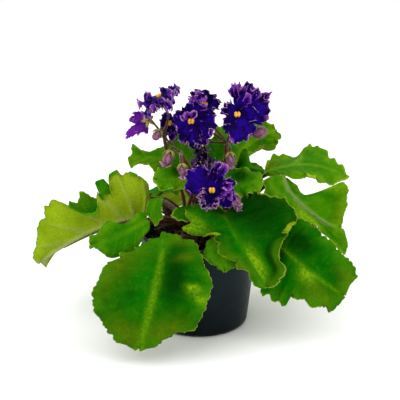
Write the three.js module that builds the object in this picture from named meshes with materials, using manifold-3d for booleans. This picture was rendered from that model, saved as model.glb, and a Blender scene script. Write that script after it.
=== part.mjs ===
// A potted African violet with ruffled leaves and frilled purple flowers, in millimetres, +Z up.
// The origin is the centre of the pot's flat base. -Y is the front of the plant, +X its right side.
//
// The plant is a rosette. A short thick stem, the crown, stands in the soil. Leaf stalks leave it in
// rings, low ones first, and flower stalks leave it at the top. A leaf is placed by where its blade
// starts, bends and ends, and by how far its two sides reach; a bloom by its throat and its face.
import * as THREE from "three";
import { mergeVertices } from "three/addons/utils/BufferGeometryUtils.js";
import Module from "manifold-3d";

const wasm = await Module();
wasm.setup();

// ---------------------------------------------------------------- driving dimensions

const GAP = 0.3; // clear air between two pieces that touch
const MERGE = 0.05; // facets smaller than this are merged into their neighbours

const POT = {
  height: 88,
  rimRadius: 55,
  baseRadius: 43,
  wall: 1.4,
  floor: 2,
  lipHeight: 7,
  lipStep: 1.6,
  cornerRadius: 6,
  holes: 8,
  holeRadius: 4,
  holeRing: 30,
};
const SOIL = { top: 79, lump: 1.6 };
const CROWN = { radius: 9, foot: 60, shoulder: 104, top: 108 };

// Stalks start this far out from the crown's axis.
const STALK_START = CROWN.radius + 0.6;

const STALK_ARCH = 4; // how far a leaf stalk rises above the straight line to its blade

const BLADE = {
  thickness: 0.9,
  veinLean: 1.5, // how far the side veins lean towards the tip
  widest: 0.45, // place on the midrib that faces the middle of the edge
  notch: 0.05, // share of the edge cut away at the notch round the stalk
};
const PETAL = { thickness: 0.8, rows: 2, frill: 0.07, root: 1.2, tilt: 0.9, bow: 1.2 };
const TUBE = { radius: 2.4, length: 6 };
const ANTHERS = { out: 4.5 };
const BUD = { length: 1.35 };
const SEPAL = { length: 7, waist: 1.7, heel: 1.3, dip: 0.2, leanOpen: 65, leanShut: 40 };
const SPRAY = { ring: 4.5 };

// Where each leaf stands. ring: height on the crown of the stalk's foot; turn: its direction in degrees,
// 0 to the right and 90 to the back. base, belly and tip are points of the midrib; left and right the
// places that the two sides' edges pass, from the stalk to the tip, seen with the upper face up. bow
// lifts the middle of each half above a straight line to its edge; frill is the height of the waves at
// the edge, lobe how far they reach out, waves their number on each side.
const LEAVES = [
  {
    name: "leaf_front_left", big: true, ring: 84, turn: 248,
    base: [-31, -70, 96], belly: [-39, -101, 65], tip: [-52, -100, 16],
    left: [[-12, -62, 103], [5, -76, 90], [10, -88, 66], [-3, -96, 35]],
    right: [[-51, -64, 96], [-79, -76, 82], [-92, -86, 59], [-80, -95, 32]],
    bow: [3, 3], frill: 2.2, lobe: 1.5, waves: 4,
  },
  {
    name: "leaf_left", big: true, ring: 84, turn: 183,
    base: [-49, -8, 101], belly: [-92, -14, 93], tip: [-146, -12, 61],
    left: [
      [-47, -8, 137], [-72, -18, 146], [-90, -24, 139], [-106, -26, 126], [-128, -24, 123],
      [-142, -20, 102], [-149, -16, 79],
    ],
    right: [[-56, 26, 112], [-84, 36, 108], [-116, 30, 98], [-142, 10, 82]],
    bow: [-4, -3], frill: 6, lobe: 4, waves: 5,
  },
  {
    name: "leaf_left_front", big: false, ring: 92, turn: 214,
    base: [-46, -36, 111], belly: [-69, -53, 102], tip: [-95, -60, 96],
    left: [[-46, -42, 99], [-59, -52, 86], [-76, -61, 84], [-88, -62, 92]],
    right: [[-52, -34, 116], [-66, -44, 108], [-80, -48, 113], [-87, -55, 108]],
    bow: [3, 3], frill: 2.2, lobe: 1.2, waves: 3,
  },
  {
    name: "leaf_front_right", big: true, ring: 92, turn: 290,
    base: [21, -42, 120], belly: [36, -72, 99], tip: [56, -86, 66],
    left: [
      [35, -30, 127], [42, -28, 133], [51, -30, 133], [60, -34, 130], [74, -38, 131], [78, -46, 114],
      [68, -62, 94], [73, -78, 78],
    ],
    right: [
      [3, -34, 125], [-13, -46, 115], [-5, -58, 105], [14, -66, 98], [19, -74, 89], [40, -82, 78],
    ],
    bow: [-5, 3], frill: 3.4, lobe: 2, waves: 5,
  },
  {
    name: "leaf_right_front", big: true, ring: 84, turn: 325,
    base: [67, -44, 91], belly: [95, -64, 72], tip: [125, -64, 50],
    left: [[79, -34, 108], [103, -42, 104], [120, -52, 85], [134, -58, 68]],
    right: [[53, -58, 77], [53, -68, 56], [72, -74, 46], [92, -74, 47], [113, -70, 38]],
    bow: [3, 3], frill: 2.6, lobe: 1.5, waves: 4,
  },
  {
    name: "leaf_front_low", big: false, ring: 84, turn: 282,
    base: [12, -57, 101], belly: [19, -64, 89], tip: [21, -66, 73],
    left: [[33, -58, 94], [37, -64, 81]],
    right: [[4, -58, 95], [7, -64, 81]],
    bow: [2, 2], frill: 1.6, lobe: 1, waves: 2,
  },
  {
    name: "leaf_right_back", big: true, ring: 92, turn: 22,
    base: [59, 22, 135], belly: [98, 34, 140], tip: [138, 36, 126],
    left: [[64, 44, 144], [94, 64, 142], [105, 66, 150], [121, 60, 144], [133, 48, 136]],
    right: [[63, 12, 135], [81, 8, 135], [105, 10, 132], [119, 20, 125]],
    bow: [-2, 3], frill: 3, lobe: 1.6, waves: 5,
  },
  {
    name: "leaf_right", big: true, ring: 84, turn: 352,
    base: [75, -2, 141], belly: [102, -16, 104], tip: [131, -16, 71],
    left: [[88, 8, 127], [101, 6, 118], [118, 6, 127], [131, 4, 132], [134, 0, 112], [128, -8, 93]],
    right: [
      [57, -14, 139], [60, -22, 126], [76, -26, 122], [91, -28, 106], [106, -28, 97], [119, -24, 82],
    ],
    bow: [-3, 2], frill: 1.6, lobe: 1.2, waves: 4,
  },
  {
    name: "leaf_back_right", big: true, ring: 92, turn: 58,
    base: [29, 22, 136], belly: [43, 44, 155], tip: [73, 60, 167],
    left: [[15, 38, 143], [12, 52, 161], [21, 60, 171], [40, 64, 173], [59, 64, 175]],
    right: [[40, 28, 146], [54, 40, 154], [68, 50, 152], [75, 56, 161]],
    bow: [-3, -3], frill: 3.2, lobe: 2, waves: 4,
  },
  {
    name: "leaf_back_left", big: false, ring: 92, turn: 140,
    base: [-26, 28, 140], belly: [-44, 40, 145], tip: [-67, 50, 140],
    left: [[-32, 22, 134], [-46, 30, 138], [-56, 38, 139], [-63, 46, 134]],
    right: [[-26, 38, 153], [-39, 48, 153], [-50, 54, 147], [-62, 58, 149]],
    bow: [2, 2], frill: 2.4, lobe: 1.2, waves: 3,
  },
  {
    name: "leaf_back", big: true, ring: 84, turn: 88,
    base: [4, 62, 108], belly: [6, 98, 98], tip: [8, 124, 62],
    left: [[-22, 58, 108], [-42, 84, 90], [-32, 114, 72]],
    right: [[30, 58, 108], [52, 86, 88], [42, 116, 70]],
    bow: [4, 4], frill: 3.4, lobe: 1.5, waves: 4,
  },
  {
    name: "leaf_back_low_left", big: true, ring: 84, turn: 130,
    base: [-42, 56, 102], belly: [-68, 82, 94], tip: [-84, 104, 58],
    left: [[-60, 40, 104], [-94, 58, 84], [-100, 86, 62]],
    right: [[-34, 78, 104], [-46, 108, 82], [-66, 118, 60]],
    bow: [4, 4], frill: 3.4, lobe: 1.5, waves: 4,
  },
  {
    name: "leaf_back_low_right", big: true, ring: 84, turn: 46,
    base: [50, 50, 102], belly: [78, 76, 92], tip: [98, 96, 56],
    left: [[42, 72, 104], [54, 104, 82], [78, 116, 58]],
    right: [[68, 36, 102], [106, 54, 80], [112, 80, 58]],
    bow: [4, 4], frill: 3.4, lobe: 1.5, waves: 4,
  },
  {
    name: "leaf_inner_left", big: false, ring: 99, turn: 200,
    base: [-6, -21, 143], belly: [-23, -32, 146], tip: [-41, -38, 147],
    left: [[-10, -28, 136], [-22, -38, 138], [-35, -42, 140]],
    right: [[-11, -21, 152], [-26, -25, 155], [-38, -32, 154]],
    bow: [3, 2], frill: 1.8, lobe: 1, waves: 3,
  },
  {
    name: "leaf_inner_right", big: false, ring: 99, turn: 8,
    base: [31, 4, 137], belly: [44, 8, 144], tip: [60, 8, 140],
    left: [[33, 14, 150], [42, 20, 159], [47, 16, 147], [56, 14, 144]],
    right: [[37, -4, 137], [48, 0, 138]],
    bow: [-1, 1], frill: 1.6, lobe: 1, waves: 2,
  },
  {
    name: "leaf_inner_front_right", big: false, ring: 99, turn: 336,
    base: [26, -18, 134], belly: [40, -24, 139], tip: [55, -24, 142],
    left: [[31, -14, 141], [44, -12, 145], [54, -16, 145]],
    right: [[31, -28, 131], [44, -32, 131], [53, -30, 135]],
    bow: [2, 2], frill: 1.6, lobe: 1, waves: 3,
  },
  {
    name: "leaf_inner_back_left", big: false, ring: 99, turn: 112,
    base: [-9, 20, 138], belly: [-16, 28, 154], tip: [-23, 34, 167],
    left: [[-20, 20, 144], [-29, 26, 158]],
    right: [[-4, 26, 146], [-6, 34, 162]],
    bow: [-1, -1], frill: 2, lobe: 1, waves: 3,
  },
  {
    name: "leaf_inner_back", big: false, ring: 99, turn: 68,
    base: [9, 22, 134], belly: [13, 30, 149], tip: [16, 36, 165],
    left: [[3, 24, 140], [1, 31, 157]],
    right: [[17, 24, 140], [25, 33, 156]],
    bow: [-1, -1], frill: 2, lobe: 1, waves: 3,
  },
  {
    name: "leaf_young_front", big: false, ring: 99, turn: 250,
    base: [-6, -30, 121], belly: [-16, -38, 117], tip: [-25, -44, 116],
    left: [[-9, -44, 113], [-17, -46, 112]],
    right: [[-11, -30, 120], [-21, -36, 121]],
    bow: [1, 1], frill: 0.8, lobe: 0.5, waves: 2,
  },
  {
    name: "leaf_young_left", big: false, ring: 92, turn: 241,
    base: [-32, -26, 128], belly: [-41, -34, 122], tip: [-38, -42, 106],
    left: [[-33, -36, 123], [-33, -42, 114]],
    right: [[-45, -30, 124], [-46, -38, 115]],
    bow: [1, 1], frill: 1.2, lobe: 0.8, waves: 2,
  },
];

// Blooms: at is the throat and face the direction it looks in; a petal is the place of its tip and its
// width. via is a place that the bloom's stalk passes.
const BLOOMS = [
  {
    name: "bloom_left_top", at: [-34, -6, 210], face: [-0.43, 0.05, 0.9],
    petals: [
      [-54, -2, 204, 22], [-46, -25, 198, 22], [-21, -24, 215, 20], [-18, 2, 220, 22],
      [-38, 22, 208, 27],
    ],
  },
  {
    name: "bloom_left_side", at: [-47, -4, 191], face: [-0.35, 0.9, -0.25],
    petals: [[-61, -6, 195, 17], [-65, -8, 178, 12], [-49, -6, 179, 11], [-55, 4, 196, 13]],
  },
  {
    name: "bloom_left_back", at: [-27, 20, 181], face: [-0.2, -0.75, 0.6],
    via: [-25, 24, 163],
    petals: [
      [-34, 22, 191, 13], [-21, 22, 190, 13], [-18, 14, 179, 14], [-26, 12, 171, 14],
      [-35, 16, 177, 12],
    ],
  },
  {
    name: "bloom_centre", at: [-7, -22, 195], face: [-0.15, -0.95, 0.25],
    petals: [
      [-23, -24, 190, 26], [-16, -14, 207, 20], [3, -14, 208, 22], [15, -20, 191, 28],
      [7, -26, 177, 22], [-10, -28, 174, 24],
    ],
  },
  {
    name: "bloom_centre_back", at: [4, 8, 201], face: [0.05, -0.8, 0.6],
    petals: [[-8, 8, 214, 17], [-13, 0, 206, 12], [11, 10, 214, 20], [18, 2, 204, 20], [4, 0, 191, 18]],
  },
  {
    name: "bloom_right", at: [32, -14, 199], face: [0.05, -0.95, 0.25],
    petals: [
      [60, -8, 211, 36], [41, 0, 223, 26], [26, 0, 219, 15], [18, -18, 202, 28], [37, -28, 177, 30],
      [53, -16, 194, 20],
    ],
  },
  {
    name: "bloom_front_low", at: [10, -50, 142], face: [0.02, -0.97, 0.15],
    petals: [
      [-9, -48, 156, 24], [18, -46, 166, 22], [32, -48, 147, 18], [31, -54, 131, 18],
      [6, -64, 130, 26],
    ],
  },
  {
    name: "bloom_spent", at: [3, -4, 157], face: [0.1, -0.6, -0.75], spent: true,
    petals: [
      [-7, -10, 153, 13], [-1, -14, 149, 14], [9, -14, 150, 14], [13, -8, 156, 13], [3, -16, 166, 12],
    ],
  },
];

// Buds: the middle of the egg, the way its blunt end points and its radius.
const BUDS = [
  { name: "bud_left_low", at: [-38, -14, 180], face: [-0.5, -0.6, -0.6], radius: 3.6 },
  { name: "bud_arch", at: [-28, -20, 161], face: [-0.35, -0.3, -0.9], radius: 4.6 },
  { name: "bud_arch_low", at: [-15, -38, 155], face: [0.1, -0.4, -0.9], radius: 3.6 },
  { name: "bud_right_high", at: [53, -6, 181], face: [0.7, -0.5, 0.3], radius: 5.4 },
  { name: "bud_right_low", at: [27, -12, 158], face: [0.1, -0.4, -0.9], radius: 3.8 },
  { name: "bud_front", at: [31, -40, 128], face: [0.4, -0.3, -0.85], radius: 4.2 },
];

const HEADS = [...BLOOMS, ...BUDS];

// Flower stalks. turn: where the foot stands on the crown's top; via: places on the way to the fork.
const SPRAYS = [
  { name: "spray_left", turn: 170, via: [[-18, 4, 140]], fork: [-32, -6, 178],
    heads: ["bloom_left_top", "bloom_left_side", "bloom_left_back", "bud_left_low"] },
  { name: "spray_arch", turn: 230, via: [[-8, -12, 146]], fork: [-17, -18, 166],
    heads: ["bud_arch", "bud_arch_low"] },
  { name: "spray_right", turn: 20, via: [[20, 2, 140]], fork: [24, 0, 170],
    heads: ["bloom_centre", "bloom_centre_back", "bloom_right", "bloom_spent", "bud_right_high", "bud_right_low"] },
  { name: "spray_front", turn: 290, via: [[6, -14, 128]], fork: [9, -24, 140],
    heads: ["bloom_front_low", "bud_front"] },
];

// ---------------------------------------------------------------- solids

const vector = (p) => new THREE.Vector3(...p);
const radians = THREE.MathUtils.degToRad;

// A closed geometry as a manifold-3d solid.
function solidOf(geometry) {
  const bare = new THREE.BufferGeometry();
  bare.setAttribute("position", geometry.getAttribute("position"));
  if (geometry.index) bare.setIndex(geometry.index);
  const merged = mergeVertices(bare, 1e-4);
  return new wasm.Manifold(
    new wasm.Mesh({
      numProp: 3,
      vertProperties: merged.getAttribute("position").array,
      triVerts: new Uint32Array(merged.index.array),
    }),
  );
}

// A manifold-3d solid as a geometry for a mesh.
function geometryOf(solid) {
  const mesh = solid.getMesh();
  const geometry = new THREE.BufferGeometry();
  geometry.setAttribute("position", new THREE.BufferAttribute(mesh.vertProperties, 3));
  geometry.setIndex(new THREE.BufferAttribute(mesh.triVerts, 1));
  geometry.computeVertexNormals();
  return geometry;
}

// The main body of a solid, without the crumbs that a crossing of facets leaves behind.
function largest(solid) {
  return solid.decompose().reduce((a, b) => (b.volume() > a.volume() ? b : a));
}

const united = (solids) => largest(solids.reduce((a, b) => a.add(b)));

// A geometry from a list of points and a list of triangles.
function geometryFrom(points, triangles) {
  const geometry = new THREE.BufferGeometry().setFromPoints(points);
  geometry.setIndex(triangles);
  return geometry;
}

// A round rod through the points, whose radius runs smoothly through the radii.
function rod(points, radii, sides, steps) {
  const curve = new THREE.CatmullRomCurve3(points, false, "centripetal");
  const frames = curve.computeFrenetFrames(steps, false);
  const vertices = [];
  const triangles = [];
  for (let i = 0; i <= steps; i++) {
    const share = i / steps;
    const at = share * (radii.length - 1);
    const low = Math.min(Math.floor(at), radii.length - 2);
    const radius = THREE.MathUtils.lerp(radii[low], radii[low + 1], at - low);
    const centre = curve.getPointAt(share);
    for (let j = 0; j < sides; j++) {
      const angle = (2 * Math.PI * j) / sides;
      vertices.push(
        centre
          .clone()
          .addScaledVector(frames.normals[i], radius * Math.cos(angle))
          .addScaledVector(frames.binormals[i], radius * Math.sin(angle)),
      );
    }
  }
  for (let i = 0; i < steps; i++) {
    for (let j = 0; j < sides; j++) {
      const k = (j + 1) % sides;
      const [a, b, c, d] = [i * sides + j, i * sides + k, (i + 1) * sides + k, (i + 1) * sides + j];
      triangles.push(a, b, c, a, c, d);
    }
  }
  const end = steps * sides;
  for (let j = 1; j < sides - 1; j++) {
    triangles.push(0, j + 1, j);
    triangles.push(end, end + j, end + j + 1);
  }
  return solidOf(geometryFrom(vertices, triangles));
}

// A thin sheet as a slab: the same triangles on both faces, half a thickness each way, and a rim.
function slab(points, triangles, thickness) {
  const sheet = geometryFrom(points, triangles);
  sheet.computeVertexNormals();
  const normals = sheet.getAttribute("normal");
  const count = points.length;
  const normal = new THREE.Vector3();
  const shifted = (side) =>
    points.map((p, i) => p.clone().addScaledVector(normal.fromBufferAttribute(normals, i), side * thickness / 2));
  const faces = [...triangles];
  for (let i = 0; i < triangles.length; i += 3)
    faces.push(triangles[i] + count, triangles[i + 2] + count, triangles[i + 1] + count);
  const edges = new Set();
  for (let i = 0; i < triangles.length; i += 3)
    for (let k = 0; k < 3; k++) edges.add(triangles[i + k] + "," + triangles[i + ((k + 1) % 3)]);
  for (const edge of edges) {
    const [a, b] = edge.split(",").map(Number);
    if (!edges.has(b + "," + a)) faces.push(a, a + count, b + count, a, b + count, b);
  }
  return solidOf(geometryFrom([...shifted(1), ...shifted(-1)], faces));
}

// ---------------------------------------------------------------- leaves

// The midrib: a curve that starts at base, passes belly half way and ends at tip.
function midrib(leaf) {
  const [base, belly, tip] = [leaf.base, leaf.belly, leaf.tip].map(vector);
  const control = belly.clone().multiplyScalar(2).sub(base.clone().add(tip).multiplyScalar(0.5));
  return {
    point: (s) =>
      base
        .clone()
        .multiplyScalar((1 - s) * (1 - s))
        .addScaledVector(control, 2 * s * (1 - s))
        .addScaledVector(tip, s * s),
    tangent: (s) =>
      control
        .clone()
        .sub(base)
        .multiplyScalar(2 * (1 - s))
        .addScaledVector(tip.clone().sub(control), 2 * s)
        .normalize(),
  };
}

// One half of a blade: its edge runs from the stalk through the leaf's points to the tip. The function
// gives the point where side vein s (0 at the stalk, 1 at the tip) has run the share t of its way.
function bladeHalf(leaf, side) {
  const rib = midrib(leaf);
  const places = (side < 0 ? leaf.left : leaf.right).map(vector);
  const edge = new THREE.CatmullRomCurve3([rib.point(0), ...places, rib.point(1)], false, "centripetal");
  const reach = edge.getPointAt(0.5).sub(rib.point(BLADE.widest));
  const bow = leaf.bow[side < 0 ? 0 : 1];
  return (s, t) => {
    const along = Math.pow(s, BLADE.veinLean);
    const start = rib.point(along);
    const tangent = rib.tangent(along);
    const turn = new THREE.Quaternion().setFromUnitVectors(rib.tangent(BLADE.widest), tangent);
    const across = reach.clone().applyQuaternion(turn);
    const up = side < 0 ? tangent.clone().cross(across) : across.clone().cross(tangent);
    up.normalize();
    const vein = edge.getPointAt(BLADE.notch + (1 - BLADE.notch) * s).sub(start);
    const calm = Math.min(1, 5 * (1 - s), 6 * s);
    const phase = 2 * Math.PI * leaf.waves * s + side * 0.9;
    const wave = leaf.frill * calm * Math.pow(t, 3) * Math.sin(phase);
    const lobe = leaf.lobe * calm * Math.pow(t, 3) * Math.cos(phase);
    const stretch = 1 + lobe / Math.max(vein.length(), 8);
    return start.addScaledVector(vein, t * stretch).addScaledVector(up, bow * 4 * t * (1 - t) + wave);
  };
}

function bladeSolid(leaf) {
  const veins = leaf.big ? 14 : 8;
  const rows = 2;
  const points = [];
  const triangles = [];
  const index = {};
  for (const side of [-1, 1]) {
    const half = bladeHalf(leaf, side);
    const vertex = (i, j) => {
      const key = i === veins ? "tip" : j === 0 ? "rib" + i : side + ":" + i + ":" + j;
      if (!(key in index)) {
        index[key] = points.length;
        points.push(half(i / veins, i === veins ? 0 : j / rows));
      }
      return index[key];
    };
    for (let i = 0; i < veins; i++) {
      for (let j = 0; j < rows; j++) {
        const quad = [vertex(i, j), vertex(i, j + 1), vertex(i + 1, j + 1), vertex(i + 1, j)];
        const [a, b, c, d] = side > 0 ? quad : [quad[0], quad[3], quad[2], quad[1]];
        for (const face of [[a, b, c], [a, c, d]])
          if (new Set(face).size === 3) triangles.push(...face);
      }
    }
  }
  return slab(points, triangles, BLADE.thickness);
}

// The stalk leaves the crown, rises, comes under the blade at its base and tapers out as the midrib.
function stalkSolid(leaf) {
  const rib = midrib(leaf);
  const thick = leaf.big ? 2.2 : 1.5;
  const angle = radians(leaf.turn);
  const outward = new THREE.Vector3(Math.cos(angle), Math.sin(angle), 0);
  const foot = outward.clone().multiplyScalar(STALK_START).setZ(leaf.ring);
  const base = rib.point(0);
  const clear = foot.clone().addScaledVector(outward, 4);
  const crest = foot.clone().lerp(base, 0.5);
  crest.z += STALK_ARCH;
  const right = vector(leaf.right[0]).sub(vector(leaf.left[0])).normalize();
  const under = (s, depth) => {
    const up = right.clone().cross(rib.tangent(s)).normalize();
    return rib.point(s).addScaledVector(up, -depth);
  };
  const points = [foot, clear, crest, under(0.02, thick * 0.8), under(0.3, 1), under(0.55, 0.7)];
  return rod(points, [thick * 1.1, thick, thick, thick * 0.8, 0.9, 0.6], leaf.big ? 5 : 4, leaf.big ? 8 : 6);
}

const leafSolid = (leaf) => bladeSolid(leaf).add(stalkSolid(leaf));

// ---------------------------------------------------------------- blooms and buds

// The turn that takes +Z to the way a bloom or bud looks.
function facing(face) {
  const front = vector(face).normalize();
  const side = new THREE.Vector3(0, 0, 1).cross(front).normalize();
  return new THREE.Matrix4().makeBasis(side, front.clone().cross(side), front);
}

// A petal runs from the throat to its tip, widest two thirds of the way out, with a pleated end.
function petalSolid(bloom, petal) {
  const at = vector(bloom.at);
  const face = vector(bloom.face).normalize();
  const [x, y, z, width] = petal;
  const along = new THREE.Vector3(x, y, z).sub(at);
  const reach = along.length();
  along.normalize();
  const across = face.clone().cross(along).normalize();
  const up = along.clone().cross(across).normalize();
  const folds = width > 27 ? 6 : 4;
  const points = [];
  const triangles = [];
  for (let i = 0; i <= PETAL.rows; i++) {
    const out = i / PETAL.rows;
    const half = (width / 2) * Math.pow(Math.sin(Math.PI * (0.1 + 0.62 * out)), 0.7);
    for (let j = 0; j <= folds; j++) {
      const a = (2 * j) / folds - 1;
      const far = PETAL.root + (reach - PETAL.root) * out * (1 - 0.25 * Math.pow(Math.abs(a), 3) * out);
      const pleat = (j % 2 ? -1 : 1) * PETAL.frill * width * out * out;
      const lift = PETAL.tilt * a + PETAL.bow * 4 * out * (1 - out) + pleat;
      points.push(
        at.clone().addScaledVector(along, far).addScaledVector(across, half * a).addScaledVector(up, lift),
      );
    }
  }
  const row = folds + 1;
  for (let i = 0; i < PETAL.rows; i++) {
    for (let j = 0; j < folds; j++) {
      const a = i * row + j;
      triangles.push(a, a + row, a + row + 1, a, a + row + 1, a + 1);
    }
  }
  return slab(points, triangles, PETAL.thickness);
}

function bloomSolid(bloom) {
  const tube = new THREE.CylinderGeometry(TUBE.radius * 1.2, TUBE.radius, TUBE.length, 6);
  tube.rotateX(Math.PI / 2).translate(0, 0, 0.8 - TUBE.length / 2);
  tube.applyMatrix4(facing(bloom.face).setPosition(vector(bloom.at)));
  return united([solidOf(tube), ...bloom.petals.map((petal) => petalSolid(bloom, petal))]);
}

// Two plump pollen sacs side by side, just clear of the throat.
function anthersSolid(bloom) {
  const sac = (side) => {
    const ball = new THREE.SphereGeometry(1, 5, 4);
    ball.scale(1.5, 2, 1.4).translate(side * 1.1, 0, ANTHERS.out);
    return solidOf(ball.applyMatrix4(facing(bloom.face).setPosition(vector(bloom.at))));
  };
  return sac(-1).add(sac(1));
}

// A closed bud: a plump egg, blunt in front. grow swells it evenly, for the room it needs.
function budSolid(bud, grow = 0) {
  const egg = new THREE.SphereGeometry(1, 7, 5).rotateX(Math.PI / 2);
  egg.scale(bud.radius + grow, bud.radius + grow, bud.radius * BUD.length + grow);
  return solidOf(egg.applyMatrix4(facing(bud.face).setPosition(vector(bud.at))));
}

// ---------------------------------------------------------------- flower stalks

// Where a stalk meets the head that it bears.
function seat(head) {
  const face = vector(head.face).normalize();
  const depth = head.petals ? TUBE.length - 0.8 : head.radius * BUD.length;
  return { place: vector(head.at).addScaledVector(face, -depth - GAP - SEPAL.heel), face };
}

// The calyx: a five-pointed star, its points leaning forwards, on a short heel.
function calyxSolid(head) {
  const lean = radians(head.petals ? SEPAL.leanOpen : SEPAL.leanShut);
  const points = [new THREE.Vector3(0, 0, -SEPAL.heel), new THREE.Vector3(0, 0, SEPAL.dip)];
  const triangles = [];
  for (let i = 0; i < 10; i++) {
    const angle = (Math.PI * i) / 5;
    const [out, height] = i % 2
      ? [SEPAL.waist, 0]
      : [SEPAL.length * Math.sin(lean), SEPAL.length * Math.cos(lean)];
    points.push(new THREE.Vector3(out * Math.cos(angle), out * Math.sin(angle), height));
    const [here, next] = [2 + i, 2 + ((i + 1) % 10)];
    triangles.push(0, next, here, 1, here, next);
  }
  return solidOf(geometryFrom(points, triangles).applyMatrix4(facing(head.face).setPosition(seat(head).place)));
}

// A flower stalk: a stem from the crown's top to the fork, and from there a thin stalk to every head.
function spraySolid(spray) {
  const angle = radians(spray.turn);
  const foot = new THREE.Vector3(Math.cos(angle), Math.sin(angle), 0).multiplyScalar(SPRAY.ring);
  foot.z = CROWN.top + GAP;
  const fork = vector(spray.fork);
  const clear = foot.clone().setZ(foot.z + 5);
  const stem = rod([foot, clear, ...spray.via.map(vector), fork], [2, 1.9, 1.7, 1.5], 5, 6);
  const heads = spray.heads.map((name) => HEADS.find((head) => head.name === name));
  const limbs = heads.flatMap((head) => {
    const { place, face } = seat(head);
    const before = place.clone().addScaledVector(face, -Math.min(9, 0.3 * place.distanceTo(fork)));
    const detour = head.via ? [vector(head.via)] : [];
    return [rod([fork, ...detour, before, place], [1.1, 0.9, 1], 4, 4 + 2 * detour.length), calyxSolid(head)];
  });
  const room = heads.filter((head) => !head.petals).map((bud) => budSolid(bud, GAP));
  const whole = united([stem, ...limbs]);
  return room.length ? largest(whole.subtract(room.reduce((a, b) => a.add(b)))) : whole;
}

// ---------------------------------------------------------------- pot, soil and crown

const lathe = (profile, sides) => {
  const geometry = new THREE.LatheGeometry(profile.map(([r, z]) => new THREE.Vector2(r, z)), sides);
  return solidOf(geometry.rotateX(Math.PI / 2));
};

const wallRadius = (z) => THREE.MathUtils.lerp(POT.baseRadius, POT.rimRadius - POT.lipStep, z / POT.height);

function potSolid() {
  const corner = [0, 30, 60, 90].map((a) => {
    const r = POT.cornerRadius;
    return [wallRadius(r) - r + r * Math.sin(radians(a)), r - r * Math.cos(radians(a))];
  });
  const lipFoot = POT.height - POT.lipHeight;
  const outside = [
    [0, 0],
    ...corner,
    [wallRadius(lipFoot), lipFoot],
    [POT.rimRadius, lipFoot + 1],
    [POT.rimRadius, POT.height - 0.8],
    [POT.rimRadius - 0.8, POT.height],
  ];
  const inside = [
    [POT.rimRadius - POT.lipStep - POT.wall, POT.height],
    [wallRadius(POT.cornerRadius) - POT.wall, POT.cornerRadius],
    [wallRadius(POT.cornerRadius) - POT.cornerRadius, POT.floor],
    [0, POT.floor],
  ];
  const holes = Array.from({ length: POT.holes }, (_, i) => {
    const angle = (2 * Math.PI * i) / POT.holes;
    const hole = new THREE.CylinderGeometry(POT.holeRadius, POT.holeRadius, 4 * POT.floor, 6);
    hole.rotateX(Math.PI / 2);
    hole.translate(POT.holeRing * Math.cos(angle), POT.holeRing * Math.sin(angle), 0);
    return solidOf(hole);
  });
  return lathe([...outside, ...inside], 32).subtract(united(holes));
}

// Soil fills the pot, a little lumpy on top, with a plain hole for the crown.
function soilSolid() {
  const inner = (z) => wallRadius(z) - POT.wall - GAP;
  const hole = CROWN.radius + GAP;
  const bottom = POT.floor + GAP;
  const profile = [
    [0, bottom],
    [wallRadius(POT.cornerRadius) - POT.cornerRadius - GAP, bottom],
    [inner(POT.cornerRadius), POT.cornerRadius + 1],
    [inner(SOIL.top - 4), SOIL.top - 4],
    [inner(SOIL.top) * 0.75, SOIL.top],
    [inner(SOIL.top) * 0.5, SOIL.top],
    [hole, SOIL.top + 1],
    [hole, CROWN.foot - GAP],
    [0, CROWN.foot - GAP],
  ];
  const geometry = new THREE.LatheGeometry(profile.map(([r, z]) => new THREE.Vector2(r, z)), 24);
  geometry.rotateX(Math.PI / 2);
  const at = geometry.getAttribute("position");
  for (let i = 0; i < at.count; i++) {
    const [x, y, z] = [at.getX(i), at.getY(i), at.getZ(i)];
    const onTop = z > SOIL.top - 1 && Math.hypot(x, y) > hole + 2;
    if (onTop) at.setZ(i, z + SOIL.lump * Math.sin(x * 0.31 + 1) * Math.cos(y * 0.27));
  }
  return solidOf(geometry);
}

function crownSolid() {
  const { radius, foot, shoulder, top } = CROWN;
  const profile = [[0, foot], [radius * 0.7, foot], [radius, foot + 6], [radius, shoulder], [radius * 0.7, top], [0, top]];
  return lathe(profile, 14);
}

// ---------------------------------------------------------------- the plant

const MATERIALS = {
  pot: new THREE.MeshStandardMaterial({ color: 0x1d252b, roughness: 0.45 }),
  soil: new THREE.MeshStandardMaterial({ color: 0x1a120c, roughness: 0.95 }),
  crown: new THREE.MeshStandardMaterial({ color: 0x6b5a2a, roughness: 0.8 }),
  leaf: new THREE.MeshStandardMaterial({ color: 0x3f8f12, roughness: 0.55 }),
  petal: new THREE.MeshStandardMaterial({ color: 0x24087a, roughness: 0.6 }),
  bud: new THREE.MeshStandardMaterial({ color: 0xa8709a, roughness: 0.7 }),
  stalk: new THREE.MeshStandardMaterial({ color: 0x6e4a22, roughness: 0.7 }),
  anther: new THREE.MeshStandardMaterial({ color: 0xe8b81c, roughness: 0.5 }),
};

const plant = new THREE.Group();

function place(name, solid, material) {
  const mesh = new THREE.Mesh(geometryOf(largest(solid.simplify(MERGE))), MATERIALS[material]);
  mesh.name = name;
  plant.add(mesh);
}

place("pot", potSolid(), "pot");
place("soil", soilSolid(), "soil");
place("crown", crownSolid(), "crown");
for (const leaf of LEAVES) place(leaf.name, leafSolid(leaf), "leaf");
for (const bloom of BLOOMS) {
  place(bloom.name, bloomSolid(bloom), "petal");
  if (!bloom.spent) place(bloom.name.replace("bloom", "anthers"), anthersSolid(bloom), "anther");
}
for (const bud of BUDS) place(bud.name, budSolid(bud), "bud");
for (const spray of SPRAYS) place(spray.name, spraySolid(spray), "stalk");

export default plant;
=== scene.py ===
"""The looks of a potted African violet: ruffled, softly hairy leaves, frilled violet flowers with a pale
edge, hairy stalks, dark soil and a dark plastic pot.

Every piece stands where its node of the frame stands. Places and sizes are in millimetres and become
metres when a mesh is made. -Y is the front of the plant, +X its right side and +Z up.
"""

import math

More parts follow.
